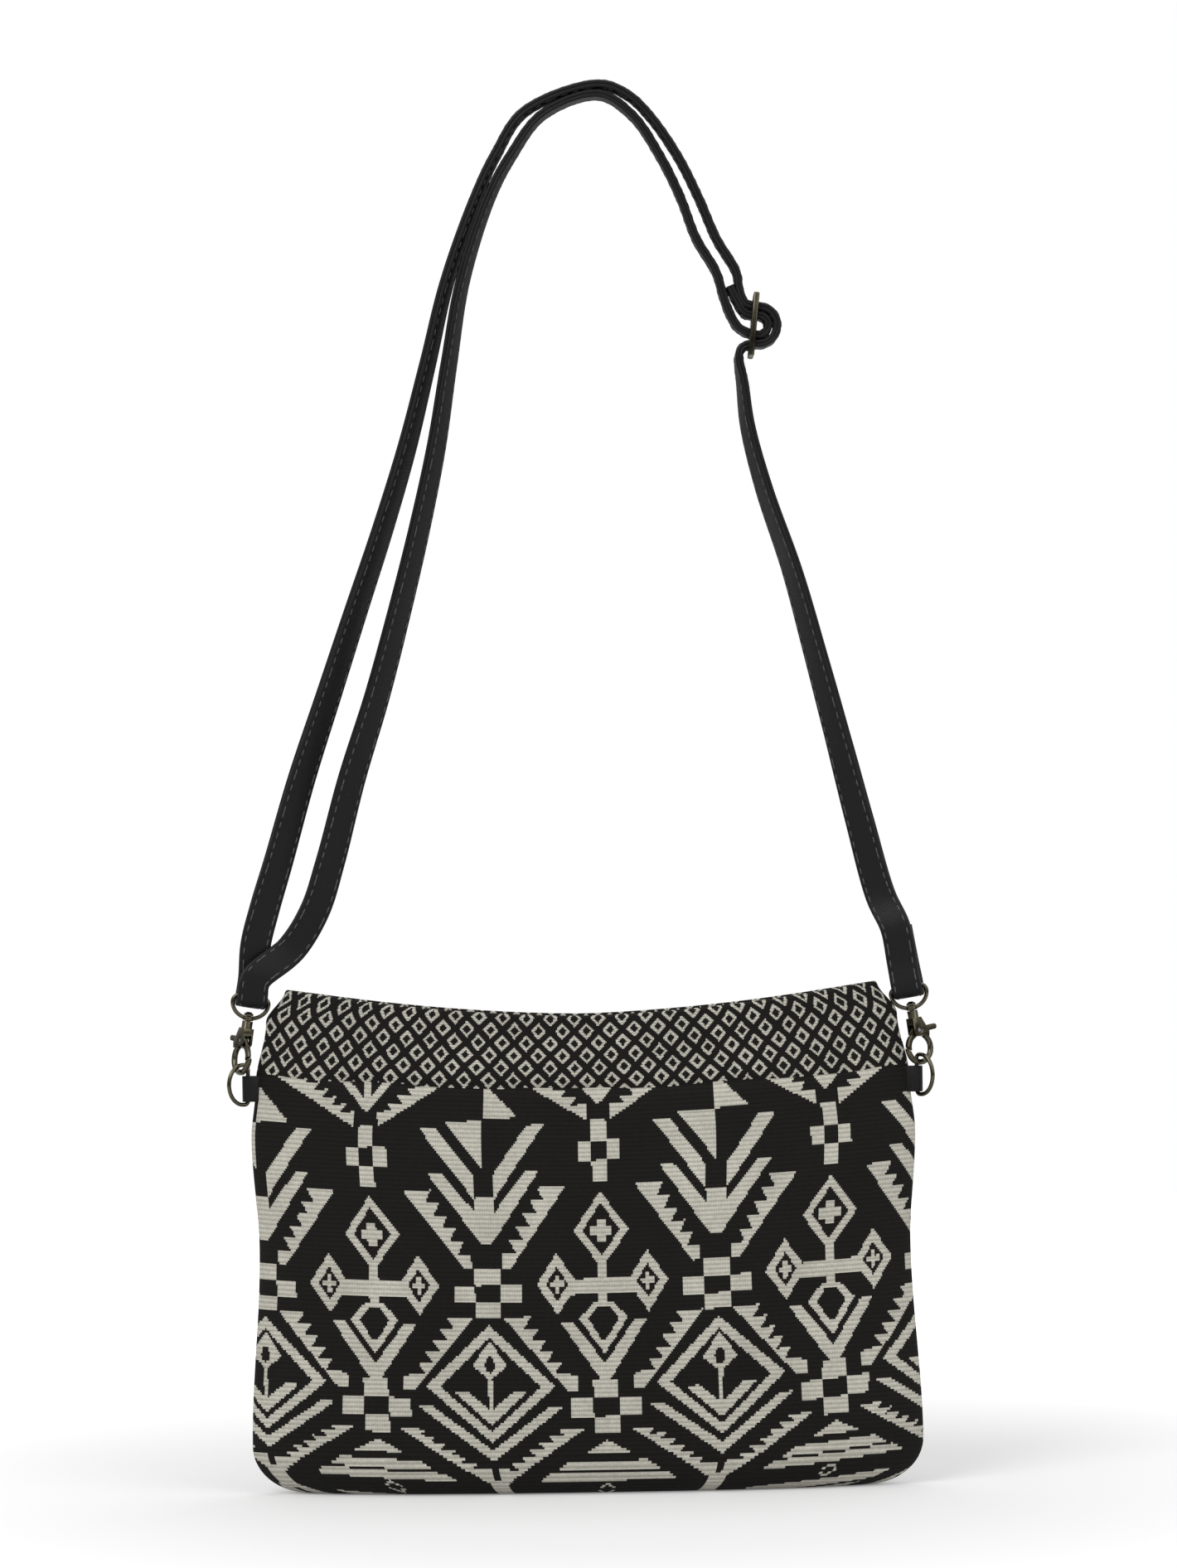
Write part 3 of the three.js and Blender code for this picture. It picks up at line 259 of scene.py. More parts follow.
# The pinwheel at the head of the diamond column isn't mirrored.
PINWHEEL = [
    (1, [(0.5, 175.2), (15.6, 159.9), (0.5, 159.5)]),
    (1, [(-15.6, 158.8), (0.3, 159.1), (0, 138)]),
]
# How the repeat lies on the sewn pouch: cut a little off the straight, and drawn in towards the base.
REPEAT, REPEAT_SHIFT, REPEAT_RISE, REPEAT_LEAN = 100, 6.5, 1.8, 0.014
STRAIGHT_LINE, DROP_RUN, DROP_ENDS = 145, 109, (-0.4, 1.2)
WIDTH_FIT, TILT_FIT, BOW_FIT = (1.012, 0.026), (0.0325, -0.0095), (1.85, 1.95)


def weave_figures(ecru, x, z, figures):
    """Marks the cells whose middle lies in a figure."""
    for yarn, corners in figures:
        inside = np.zeros(len(x), dtype=bool)
        for (x0, z0), (x1, z1) in zip(corners, corners[1:] + corners[:1]):
            if z0 != z1:
                inside ^= ((z0 > z) != (z1 > z)) & (x < x0 + (x1 - x0) * (z - z0) / (z1 - z0))
        ecru[inside] = yarn


def jacquard(name, columns, rows):
    """Heavy cotton jacquard: matt, with weft ribs and a fine tick for every warp yarn."""
    # A rib for every row is too fine to show, so one is drawn for every two rows.
    made, tree, shader = finish(name)
    uv = add(tree, "ShaderNodeSeparateXYZ", {0: add(tree, "ShaderNodeUVMap", uv_map="weave").outputs[0]})
    weft = add(tree, "ShaderNodeMath", {0: uv.outputs[1], 1: rows * math.pi}, operation="MULTIPLY")
    weft = add(tree, "ShaderNodeMath", {0: weft.outputs[0]}, operation="COSINE")
    warp = add(tree, "ShaderNodeMath", {0: uv.outputs[0], 1: columns * 2 * math.pi}, operation="MULTIPLY")
    warp = add(tree, "ShaderNodeMath", {0: warp.outputs[0]}, operation="COSINE")
    lay = add(tree, "ShaderNodeMath", {0: weft.outputs[0], 1: 0.6, 2: 0.4}, operation="MULTIPLY_ADD")
    yarns = add(tree, "ShaderNodeMath", {0: warp.outputs[0], 1: 0.35, 2: lay.outputs[0]},
                operation="MULTIPLY_ADD")
    where = add(tree, "ShaderNodeTexCoord").outputs["Object"]
    slub = add(tree, "ShaderNodeTexNoise", {"Vector": where, "Scale": 700.0, "Detail": 2.0})
    cloud = add(tree, "ShaderNodeTexNoise", {"Vector": where, "Scale": 45.0, "Detail": 3.0})
    ecru = add(tree, "ShaderNodeAttribute", attribute_name="ecru").outputs["Fac"]
    yarn = add(tree, "ShaderNodeMix", {0: ecru, 6: linear(BLACK_YARN), 7: linear(ECRU_YARN)},
               data_type="RGBA")
    # Painted shade: the yarn colour is darkened in the valleys between the ribs and warp ticks.
    valley_shade = add(tree, "ShaderNodeMapRange", {0: yarns.outputs[0], 1: 0.6, 2: -0.5, 3: 0.0, 4: 0.42})
    shade = add(tree, "ShaderNodeMix", {0: valley_shade.outputs[0], 6: yarn.outputs[2], 7: linear("4b4840")},
                data_type="RGBA", blend_type="MULTIPLY")
    mottle = add(tree, "ShaderNodeMath", {0: slub.outputs[0], 1: 0.45, 2: 0.55}, operation="MULTIPLY_ADD")
    mottle = add(tree, "ShaderNodeMath", {0: cloud.outputs[0], 1: 0.4, 2: mottle.outputs[0]},
                 operation="MULTIPLY_ADD")
    tone = add(tree, "ShaderNodeHueSaturation", {"Value": mottle.outputs[0], "Color": shade.outputs[2]})
    relief = add(tree, "ShaderNodeMath", {0: slub.outputs[0], 1: 0.8, 2: yarns.outputs[0]},
                 operation="MULTIPLY_ADD")
    bump = add(tree, "ShaderNodeBump", {"Strength": 0.55, "Distance": 0.0003, "Height": relief.outputs[0]})
    tree.links.new(tone.outputs[0], shader.inputs["Base Color"])
    tree.links.new(bump.outputs[0], shader.inputs["Normal"])
    shader.inputs["Roughness"].default_value = 0.92
    shader.inputs["Sheen Weight"].default_value = 0.03
    shader.inputs["Specular IOR Level"].default_value = 0.15
    return made


panel_cloth = jacquard("cotton_jacquard_bold", PANEL_COLUMNS, PANEL_ROWS)
for side, sign in (("front", -1), ("back", 1)):
    panel, cells = grid_piece(f"{side}_panel_cloth", PANEL_COLUMNS, PANEL_ROWS, panel_place(sign),
                              flipped=sign > 0)
    _, _, z = panel_place(-1)(cells[:, 0], cells[:, 1])
    x = (cells[:, 0] - 0.5) * CLOTH_RUN
    low = np.minimum(cells[:, 1] * (BASE_RUN + EDGE_RUN + WALL_RUN) - BASE_RUN, 0)
    drop = np.clip((STRAIGHT_LINE - z) / DROP_RUN, *DROP_ENDS)
    spread = WIDTH_FIT[0] + WIDTH_FIT[1] * drop ** 2
    column = (x - REPEAT_SHIFT - REPEAT_LEAN * (STRAIGHT_LINE - z)) * spread
    tilt = (TILT_FIT[0] + TILT_FIT[1] * drop) * column
    bow = (BOW_FIT[0] + BOW_FIT[1] * drop) * (column / REPEAT) ** 2
    level = np.abs(z + low - REPEAT_RISE - tilt - bow)
    ecru = np.zeros(len(x), dtype=np.float32)
    weave_figures(ecru, np.abs((column + REPEAT / 2) % REPEAT - REPEAT / 2), level, CROSS_COLUMN)
    weave_figures(ecru, np.abs(column % REPEAT - REPEAT / 2), level, DIAMOND_COLUMN)
    weave_figures(ecru, column % REPEAT - REPEAT / 2, level, PINWHEEL)
    panel.data.attributes.new("ecru", "FLOAT", "FACE").data.foreach_set("value", ecru)
    dress(panel, panel_cloth, "woven_jacquard", "pouch", f"{side}_panel")

# Yokes: the upper band of the pouch, in a finer jacquard of small outlined diamonds.
# Each is sewn to its panel along a curved seam, turned over at the sagging top edge,
# and its facing runs down inside to the zip.
YOKE_COLUMNS, YOKE_ROWS = 480, 92
YOKE_WALL, YOKE_FACING, YOKE_TURN = 36.0, 22.0, 1.1
FACING_END, YOKE_WAVE = 188.2, 0.6
DIAMOND_PITCH, DIAMOND_RISE = 10.6, 12.4
OUTER_HALF, OUTER_RISE, INNER_HALF, INNER_RISE = 3.4, 4.1, 1.9, 2.3
DIAMOND_SHIFT, DIAMOND_LIFT, DIAMOND_TILT = 3.2, 1.5, 0.015


def yoke_place(side):
    """Points of one yoke: up the outside, over the turned edge and down the facing."""
    def place(share_across, share_up):
        across = across_at(share_across)
        turn_run = math.pi * YOKE_TURN
        run = share_up * (YOKE_WALL + turn_run + YOKE_FACING)
        wall = np.clip(run / YOKE_WALL, 0, 1)
        turn = np.clip((run - YOKE_WALL) / turn_run, 0, 1) * math.pi
        fall = np.clip((run - YOKE_WALL - turn_run) / YOKE_FACING, 0, 1)
        low, high = yoke_seam(across) - SEAM_LAP, top_edge(across) - YOKE_TURN
        height = low + (high - low) * wall + YOKE_TURN * np.sin(turn) - (high - FACING_END) * fall
        inset = YOKE_TURN * (1 - np.cos(turn))
        seam = np.exp(-(((height - low) / SEAM_DIP_RUN) ** 2)) * (turn == 0)
        x = across * (half_width(height) - inset)
        soft = np.sin(x / 21 + 0.8) * np.sin(height / 13)
        swell = YOKE_WAVE * soft * wall * (turn == 0) * (1 - wall)
        depth = half_depth(height) - inset - SEAM_DIP * seam + swell
        return x, side * (SEAM_GAP + (depth - SEAM_GAP) * lens(across)), height
    return place


yoke_cloth = jacquard("cotton_jacquard_fine", YOKE_COLUMNS, YOKE_ROWS)
for side, sign in (("front", -1), ("back", 1)):
    yoke, cells = grid_piece(f"{side}_yoke_cloth", YOKE_COLUMNS, YOKE_ROWS, yoke_place(sign),
                             flipped=sign > 0)
    x = (cells[:, 0] - 0.5) * CLOTH_RUN + DIAMOND_SHIFT
    z = cells[:, 1] * (YOKE_WALL + math.pi * YOKE_TURN + YOKE_FACING) - DIAMOND_TILT * x + DIAMOND_LIFT
    ecru = np.zeros(len(x), dtype=np.float32)
    for shift in (0.0, 0.5):
        dx = np.abs((x / DIAMOND_PITCH + shift) % 1 - 0.5) * DIAMOND_PITCH
        dz = np.abs((z / DIAMOND_RISE + shift) % 1 - 0.5) * DIAMOND_RISE
        outline = (dx / OUTER_HALF + dz / OUTER_RISE <= 1) & (dx / INNER_HALF + dz / INNER_RISE >= 1)
        ecru[outline] = 1
    yoke.data.attributes.new("ecru", "FLOAT", "FACE").data.foreach_set("value", ecru)
    dress(yoke, yoke_cloth, "yoke_jacquard", "pouch", f"{side}_yoke")

# Lining: two halves of thin plain-woven polyester, sewn to the zip tapes.
# It hangs inside the panels and follows their shape.
LINING_INSET, LINING_TOP = 3.3, 188.0
LINING_COLUMNS, LINING_ROWS = 72, 48
lining_cloth, tree, shader = finish("polyester_lining")
# A fine plain weave with a faint sheen. Its 0.3 mm yarns are drawn at 0.8 mm so that they show.
where = add(tree, "ShaderNodeTexCoord").outputs["Object"]
yarn = add(tree, "ShaderNodeTexChecker", {"Vector": where, "Scale": 1250.0,
                                          "Color1": linear("2a2b31"), "Color2": linear("1f2025")})
tree.links.new(yarn.outputs[0], shader.inputs["Base Color"])
bump = add(tree, "ShaderNodeBump", {"Strength": 0.3, "Distance": 0.0002, "Height": yarn.outputs[1]})
tree.links.new(bump.outputs[0], shader.inputs["Normal"])
shader.inputs["Roughness"].default_value = 0.7
shader.inputs["Sheen Weight"].default_value = 0.2
for side, sign in (("front", -1), ("back", 1)):
    lining, _ = grid_piece(f"{side}_lining_cloth", LINING_COLUMNS, LINING_ROWS,
                           panel_place(sign, LINING_INSET, LINING_TOP), flipped=sign > 0)
    dress(lining, lining_cloth, "lining_cloth", "pouch", f"{side}_lining")

# Zip: woven polyester tapes with a nylon coil sewn on each, closed by metal stops at the ends.
# The coil is one nylon wire wound in flat turns.
COIL_PITCH, COIL_WIRE = 1.6, 0.6
tape_cloth, tree, shader = finish("polyester_zip_tape")
# A herringbone tape: diagonal ribs, painted lighter where they stand highest as a painted highlight.
where = add(tree, "ShaderNodeTexCoord").outputs["Object"]
rib = add(tree, "ShaderNodeTexWave", {"Vector": where, "Scale": 280.0, "Distortion": 0.6},
          bands_direction="DIAGONAL")
# Painted highlight: the raised rib bands are coloured lighter than the low ones.
ribs = add(tree, "ShaderNodeMix", {0: rib.outputs[1], 6: linear("131416"), 7: linear("232427")},
           data_type="RGBA")
tree.links.new(ribs.outputs[2], shader.inputs["Base Color"])
bump = add(tree, "ShaderNodeBump", {"Strength": 0.4, "Distance": 0.0002, "Height": rib.outputs[1]})
tree.links.new(bump.outputs[0], shader.inputs["Normal"])
shader.inputs["Roughness"].default_value = 0.85
coil_nylon, tree, shader = finish("nylon_coil")
# Drawn nylon wire: dark, with a soft satin highlight along each turn.
where = add(tree, "ShaderNodeTexCoord").outputs["Object"]
speck = add(tree, "ShaderNodeTexNoise", {"Vector": where, "Scale": 900.0})
gloss = add(tree, "ShaderNodeMapRange", {0: speck.outputs[0], 3: 0.35, 4: 0.55})
tree.links.new(gloss.outputs[0], shader.inputs["Roughness"])
shader.inputs["Base Color"].default_value = linear("1d1e21")
for side in ("front", "back"):
    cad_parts[f"zip_tape_{side}"].material_slots[0].material = tape_cloth
    low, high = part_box(f"zip_coil_{side}")
    middle = (low + high) / 2
    size = (high - low) * 1000
    turns = int(size.x / COIL_PITCH)

    def coil_place(round_wire, along, middle=middle, size=size, turns=turns):
        turn = along * turns * 2 * math.pi
        wire = round_wire * 2 * math.pi
        reach = np.cos(wire) * COIL_WIRE / 2
        y = np.cos(turn) * (size.y / 2 - COIL_WIRE / 2 + reach)
        z = np.sin(turn) * (size.z / 2 - COIL_WIRE / 2 + reach)
        x = (along - 0.5) * (size.x - COIL_WIRE) + np.sin(wire) * COIL_WIRE / 2
        return (x + middle.x * 1000 + CROWN_SHIFT, y + middle.y * 1000, z + (middle.z - FLOOR) * 1000)

    coil, _ = grid_piece(f"{side}_zip_coil", 6, turns * 10, coil_place, closed=True)
    dress(coil, coil_nylon, "zip_nylon", "pouch", f"zip_coil_{side}")

# Zip slider, pull and stops: die-cast zinc with a dark nickel plate.
# The stops are clamped over the coils' ends, and the pull turns on the slider's bridge.
gunmetal, tree, shader = finish("dark_nickel_plated_zinc")
# Polished casting under a thin, warm dark plate: clear reflections, softened here and there by handling.
where = add(tree, "ShaderNodeTexCoord").outputs["Object"]
cast = add(tree, "ShaderNodeTexNoise", {"Vector": where, "Scale": 260.0, "Detail": 3.0})
gloss = add(tree, "ShaderNodeMapRange", {0: cast.outputs[0], 1: 0.3, 2: 0.75, 3: 0.12, 4: 0.24})
tint = add(tree, "ShaderNodeMix", {0: cast.outputs[0], 6: linear("3a372d"), 7: linear("565143")},
           data_type="RGBA")
bump = add(tree, "ShaderNodeBump", {"Strength": 0.08, "Distance": 0.0002, "Height": cast.outputs[0]})
tree.links.new(tint.outputs[2], shader.inputs["Base Color"])
tree.links.new(gloss.outputs[0], shader.inputs["Roughness"])
tree.links.new(bump.outputs[0], shader.inputs["Normal"])
shader.inputs["Metallic"].default_value = 1.0


def cast_piece(node, body, slot, material, round_edge):
    """A CAD form with its faces joined and its edges rounded as a casting's are."""
    bm = bmesh.new()
    bm.from_mesh(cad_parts[node].data)
    bmesh.ops.remove_doubles(bm, verts=bm.verts, dist=1e-6)
    bmesh.ops.dissolve_limit(bm, angle_limit=math.radians(2), verts=bm.verts, edges=bm.edges)
    sharp = [e for e in bm.edges if e.is_manifold and e.calc_face_angle() > math.radians(50)]
    bmesh.ops.bevel(bm, geom=sharp, offset=round_edge / 1000, offset_type="OFFSET", affect="EDGES",
                    segments=2, profile=0.5, material=-1, clamp_overlap=True)
    bmesh.ops.triangulate(bm, faces=[f for f in bm.faces if len(f.verts) > 4])
    mesh = bpy.data.meshes.new(node + "_form")
    bm.to_mesh(mesh)
    bm.free()
    mesh.polygons.foreach_set("use_smooth", [True] * len(mesh.polygons))
    mesh.set_sharp_from_angle(angle=math.radians(48))
    made = bpy.data.objects.new(node + "_form", mesh)
    bpy.context.scene.collection.objects.link(made)
    dress(made, material, slot, body, node)
    return made


cast_piece("zip_slider", "zip_runner", "gunmetal", gunmetal, 0.35)
cast_piece("zip_pull", "zip_tab", "gunmetal", gunmetal, 0.3)
cast_piece("zip_stop_left", "pouch", "gunmetal", gunmetal, 0.3)
cast_piece("zip_stop_right", "pouch", "gunmetal", gunmetal, 0.3)

# Ring tabs: short strips of coated leather folded round the bar of each ring.
# Both ends are caught in the side seam.
leather, tree, shader = finish("coated_black_leather")
# Black coating embossed with a fine pebble grain of about 0.7 mm, which breaks the highlight up.
where = add(tree, "ShaderNodeTexCoord").outputs["Object"]
pebble = add(tree, "ShaderNodeTexVoronoi", {"Vector": where, "Scale": 1400.0}, feature="SMOOTH_F1")
cloud = add(tree, "ShaderNodeTexNoise", {"Vector": where, "Scale": 60.0, "Detail": 4.0})
tint = add(tree, "ShaderNodeMix", {0: cloud.outputs[0], 6: linear("0b0b0c"), 7: linear("141416")},
           data_type="RGBA")
gloss = add(tree, "ShaderNodeMapRange", {0: cloud.outputs[0], 3: 0.4, 4: 0.56})
bump = add(tree, "ShaderNodeBump", {"Strength": 0.35, "Distance": 0.00025, "Height": pebble.outputs[0]})
tree.links.new(tint.outputs[2], shader.inputs["Base Color"])
tree.links.new(gloss.outputs[0], shader.inputs["Roughness"])
tree.links.new(bump.outputs[0], shader.inputs["Normal"])
shader.inputs["Specular IOR Level"].default_value = 0.15
# The tails run on into the seam, so that the cloth's edge closes on them.
TAIL, TAIL_END = 2.6, 0.8
for side, inward in (("left", 1), ("right", -1)):
    tab = cast_piece(f"ring_tab_{side}", "pouch", "strap_leather", leather, 0.35)
    seam_end = min(abs(v.co.x) for v in tab.data.vertices) + TAIL_END / 1000
    for vertex in tab.data.vertices:
        if abs(vertex.co.x) < seam_end:
            vertex.co.x += inward * TAIL / 1000

# D rings: round wire bent to a D and butted in the bar, plated with the hooks.
# The bar turns in the tab, and the bow carries the hook.
RING_BAR, RING_CENTRE, RING_HALF, RING_LEG, RING_BOW, RING_WIRE = 143.607, 175.6, 8.55, 2.5, 7.0, 1.8
RING_YAW = {"left": 55, "right": 42}


def bent_wire(name, path, diameter, place):
    """Round wire swept along a flat closed path, given as points in X and Z."""
    path = np.array(path)
    steps = np.linalg.norm(np.diff(np.vstack([path, path[:1]]), axis=0), axis=1)
    run = np.concatenate([[0], np.cumsum(steps)]) / steps.sum()
    rounds = max(48, int(steps.sum() * 2.4))

    def lie(round_wire, along):
        loop = np.vstack([path, path[:1]])
        point = np.stack([np.interp(along % 1.0, run, loop[:, i]) for i in (0, 1)], axis=1)
        ahead = np.stack([np.interp((along + 0.01) % 1.0, run, loop[:, i]) for i in (0, 1)], axis=1)
        behind = np.stack([np.interp((along - 0.01) % 1.0, run, loop[:, i]) for i in (0, 1)], axis=1)
        way = (ahead - behind) / np.linalg.norm(ahead - behind, axis=1)[:, None]
        angle = round_wire * 2 * math.pi
        out, deep = np.cos(angle) * diameter / 2, np.sin(angle) * diameter / 2
        flat = np.stack([point[:, 0] - way[:, 1] * out, deep, point[:, 1] + way[:, 0] * out,
                         np.ones(len(out))])
        return (np.array(place) @ flat)[:3]

    return grid_piece(name, 16, rounds, lie, closed=True)[0]


def arc(cx, cz, rx, rz, start, end, count=24):
    """Points of an arc of an ellipse, with its angles in degrees."""
    return [(cx + rx * math.cos(math.radians(start + (end - start) * i / count)),
             cz + rz * math.sin(math.radians(start + (end - start) * i / count))) for i in range(count + 1)]


for side, sign in (("left", -1), ("right", 1)):
    turned = Matrix.Rotation(math.radians(RING_YAW[side] - 90), 4, "Z")
    place = Matrix.Scale(sign, 4, (1, 0, 0)) @ Matrix.Translation((RING_BAR, 0, RING_CENTRE)) @ turned
    path = (arc(RING_WIRE, RING_WIRE - RING_HALF, RING_WIRE, RING_WIRE, 180, 270, 8)
            + arc(RING_LEG, 0, RING_BOW, RING_HALF, -90, 90)
            + arc(RING_WIRE, RING_HALF - RING_WIRE, RING_WIRE, RING_WIRE, 90, 180, 8))
    ring = bent_wire(f"{side}_d_ring", path, RING_WIRE, place)
    dress(ring, gunmetal, "gunmetal", f"{side}_ring", f"d_ring_{side}")

# Swivel hooks: die-cast claw and body, with a gate that a spring holds shut.
# The gate turns on a riveted steel pin through both cheeks.
drawn_steel, tree, shader = finish("drawn_steel_wire")
# Bright wire with fine draw marks along it.
where = add(tree, "ShaderNodeTexCoord").outputs["Object"]
marks = add(tree, "ShaderNodeTexNoise", {"Vector": where, "Scale": 1500.0})
gloss = add(tree, "ShaderNodeMapRange", {0: marks.outputs[0], 3: 0.22, 4: 0.42})
tree.links.new(gloss.outputs[0], shader.inputs["Roughness"])
shader.inputs["Base Color"].default_value = linear("8a8c90")
shader.inputs["Metallic"].default_value = 1.0
for side in ("left", "right"):
    cast_piece(f"hook_{side}", f"{side}_hook", "gunmetal", gunmetal, 0.45)
    cast_piece(f"hook_gate_{side}", f"{side}_gate", "gunmetal", gunmetal, 0.3)
    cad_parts[f"gate_pin_{side}"].material_slots[0].material = drawn_steel
    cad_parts[f"gate_spring_{side}"].material_slots[0].material = drawn_steel

# Hook eyes: a wire loop with a straight bar for the strap, joined to a bored boss.
# The hook's post turns in the boss and is headed over above it.
LINK_OUT = {"left": 147.035, "right": 145.768}
LINK_FORWARD, LINK_HEIGHT, HOOK_LEAN, EYE_YAW = 2.4, 181.0, 10, 12
EYE_WIRE, EYE_HALF, EYE_LOW, EYE_BAR, EYE_CORNER = 1.8, 7.8, 23.5, 32.8, 2.5
BOSS_RADIUS, BOSS_DEPTH, BOSS_EDGE = 2.5, 1.8, 0.35
for side, sign in (("left", -1), ("right", 1)):
    lean = Matrix.Rotation(math.radians(-HOOK_LEAN), 4, "Y") @ Matrix.Rotation(math.radians(-EYE_YAW), 4, "Z")
    place = (Matrix.Scale(sign, 4, (1, 0, 0))
             @ Matrix.Translation((LINK_OUT[side], -LINK_FORWARD, LINK_HEIGHT)) @ lean)
    bow = EYE_BAR - EYE_CORNER
    path = (arc(0, bow, EYE_HALF, bow - EYE_LOW, -90, 0, 16)
            + arc(EYE_HALF - EYE_CORNER, bow, EYE_CORNER, EYE_CORNER, 0, 90, 8)
            + arc(EYE_CORNER - EYE_HALF, bow, EYE_CORNER, EYE_CORNER, 90, 180, 8)
            + arc(0, bow, EYE_HALF, bow - EYE_LOW, 180, 270, 16)[:-1])
    eye = bent_wire(f"{side}_hook_eye", path, EYE_WIRE, place)
    bm = bmesh.new()
    bmesh.ops.create_cone(bm, cap_ends=True, segments=24, radius1=BOSS_RADIUS, radius2=BOSS_RADIUS,
                          depth=BOSS_DEPTH)
    rim = [e for e in bm.edges if e.calc_face_angle(0) > 1]
    bmesh.ops.bevel(bm, geom=rim, offset=BOSS_EDGE, offset_type="OFFSET", affect="EDGES",
                    segments=2, profile=0.5, material=-1)
    shift = Matrix.Translation((-CROWN_SHIFT, 0, FLOOR * 1000))
    seat = Matrix.Diagonal((0.001, 0.001, 0.001, 1)) @ shift @ place
    bmesh.ops.transform(bm, matrix=seat @ Matrix.Translation((0, 0, EYE_LOW)), verts=bm.verts)
    bm.from_mesh(eye.data)
    bmesh.ops.recalc_face_normals(bm, faces=bm.faces)
    bm.to_mesh(eye.data)
    bm.free()
    eye.data.polygons.foreach_set("use_smooth", [True] * len(eye.data.polygons))
    eye.data.set_sharp_from_angle(angle=math.radians(50))
    dress(eye, gunmetal, "gunmetal", "strap_loop", f"hook_eye_{side}")

# Strap adjuster: a flat cast frame with three bars across the strap.
# The strap's end is sewn round the middle bar, and the running part goes over it.
cast_piece("strap_adjuster", "strap_loop", "gunmetal", gunmetal, 0.6)

# Strap: two layers of coated leather, glued and sewn along both edges into one flat band.
# It starts sewn round the adjuster, goes over the crown, round the left eye and back through the adjuster,
# and ends folded and sewn behind the right eye.
STRAP_WIDTH, STRAP_THICKNESS, LAYER, EASE = 13.0, 3.6, 3.9, 0.4
EYE_TURN, SEWN_LOW, SEWN_HIGH = 3.0, 11, 26
BAR_HALF, BAR_PLAY = 1.25, 0.3
SEWN_TURN = BAR_HALF * math.sqrt(2) + 2 * BAR_PLAY + STRAP_THICKNESS / 2
RUNNING_TURN = SEWN_TURN + LAYER
CROWN = Vector((CROWN_SHIFT, 0, 598.2))
ADJUSTER = Vector((78.5, 0, 498.2))
ADJUSTER_LEAN, ADJUSTER_REACH = 6, 2
LEFT_INNER = [
    (0.845, 0.979, 2), (0.755, 0.933, 5), (0.693, 0.887, 8), (0.616, 0.795, 13), (0.574, 0.703, 19),
    (0.535, 0.61, 26), (0.484, 0.518, 32), (0.425, 0.426, 38), (0.36, 0.333, 45), (0.286, 0.241, 54),
    (0.223, 0.149, 64), (0.178, 0.095, 72), (0.112, 0.053, 80),
]
LEFT_OUTER = [
    (0.012, 0.057, 82), (0.038, 0.097, 74), (0.079, 0.15, 64), (0.147, 0.242, 54), (0.225, 0.334, 45),
    (0.303, 0.426, 38), (0.382, 0.518, 32), (0.454, 0.61, 26), (0.515, 0.703, 19), (0.573, 0.795, 13),
    (0.656, 0.887, 8), (0.713, 0.935, 5), (0.793, 0.982, 2),
]
RIGHT_OUTER = [(0.19, 0.002, 0), (0.335, 0.094, 0), (0.515, 0.268, 0), (0.649, 0.447, 0), (0.764, 0.627, 0)]
RIGHT_INNER = [(0.63, 0.624, 0), (0.53, 0.446, 0), (0.4, 0.268, 0), (0.219, 0.09, 0)]
RIGHT_RUN = [
    (-0.083, 0.088, -9), (-0.052, 0.151, -15), (0.056, 0.246, -22), (0.244, 0.371, -29), (0.397, 0.497, -37),
    (0.544, 0.623, -46), (0.687, 0.749, -60), (0.824, 0.862, -74),
]
LEVEL = Vector((0, 1, 0))
stops = []


def pass_between(start, end, shares):
    """Stops at shares of the way between two places, each with the twist of the band there."""
    for across, up, twist in shares:
        spot = Vector((start.x + (end.x - start.x) * across, 0, start.z + (end.z - start.z) * up))
        stops.append((spot, Vector((math.sin(math.radians(twist)), math.cos(math.radians(twist)), 0))))


def pass_adjuster(*spots):
    """Stops in the adjuster's own directions, which lean with it."""
    lean = math.radians(ADJUSTER_LEAN)
    for right, up in spots:
        stops.append((ADJUSTER + Vector((right * math.cos(lean) + up * math.sin(lean), 0,
                                         up * math.cos(lean) - right * math.sin(lean))), LEVEL))


def turn_adjuster(radius, count):
    """Half a turn round the middle bar."""
    for i in range(count + 1):
        angle = math.radians(90 - 180 * i / count)
        pass_adjuster((ADJUSTER_REACH + radius * math.cos(angle), radius * math.sin(angle)))


def eye_frame(side, sign):
    """Middle and directions of the bar of one eye."""
    lean, yaw = math.radians(HOOK_LEAN), math.radians(EYE_YAW)
    up = Vector((-sign * math.sin(lean), 0, math.cos(lean)))
    flat = Vector((sign * math.cos(lean), 0, math.sin(lean)))
    along = flat * math.cos(yaw) + Vector((0, -math.sin(yaw), 0))
    front = flat * -math.sin(yaw) + Vector((0, -math.cos(yaw), 0))
    return Vector((sign * LINK_OUT[side], -LINK_FORWARD, LINK_HEIGHT)) + up * EYE_BAR, along, front, up


def pass_eye(eye, *spots):
    """Stops in front of, above or behind an eye's bar."""
    middle, along, front, up = eye
    for forward, rise in spots:
        stops.append((middle + front * forward + up * rise, -along))


def turn_eye(eye):
    """Half a turn under an eye's bar."""
    for i in range(7):
        pass_eye(eye, (EYE_TURN * math.cos(i / 6 * math.pi), -EYE_TURN * math.sin(i / 6 * math.pi)))


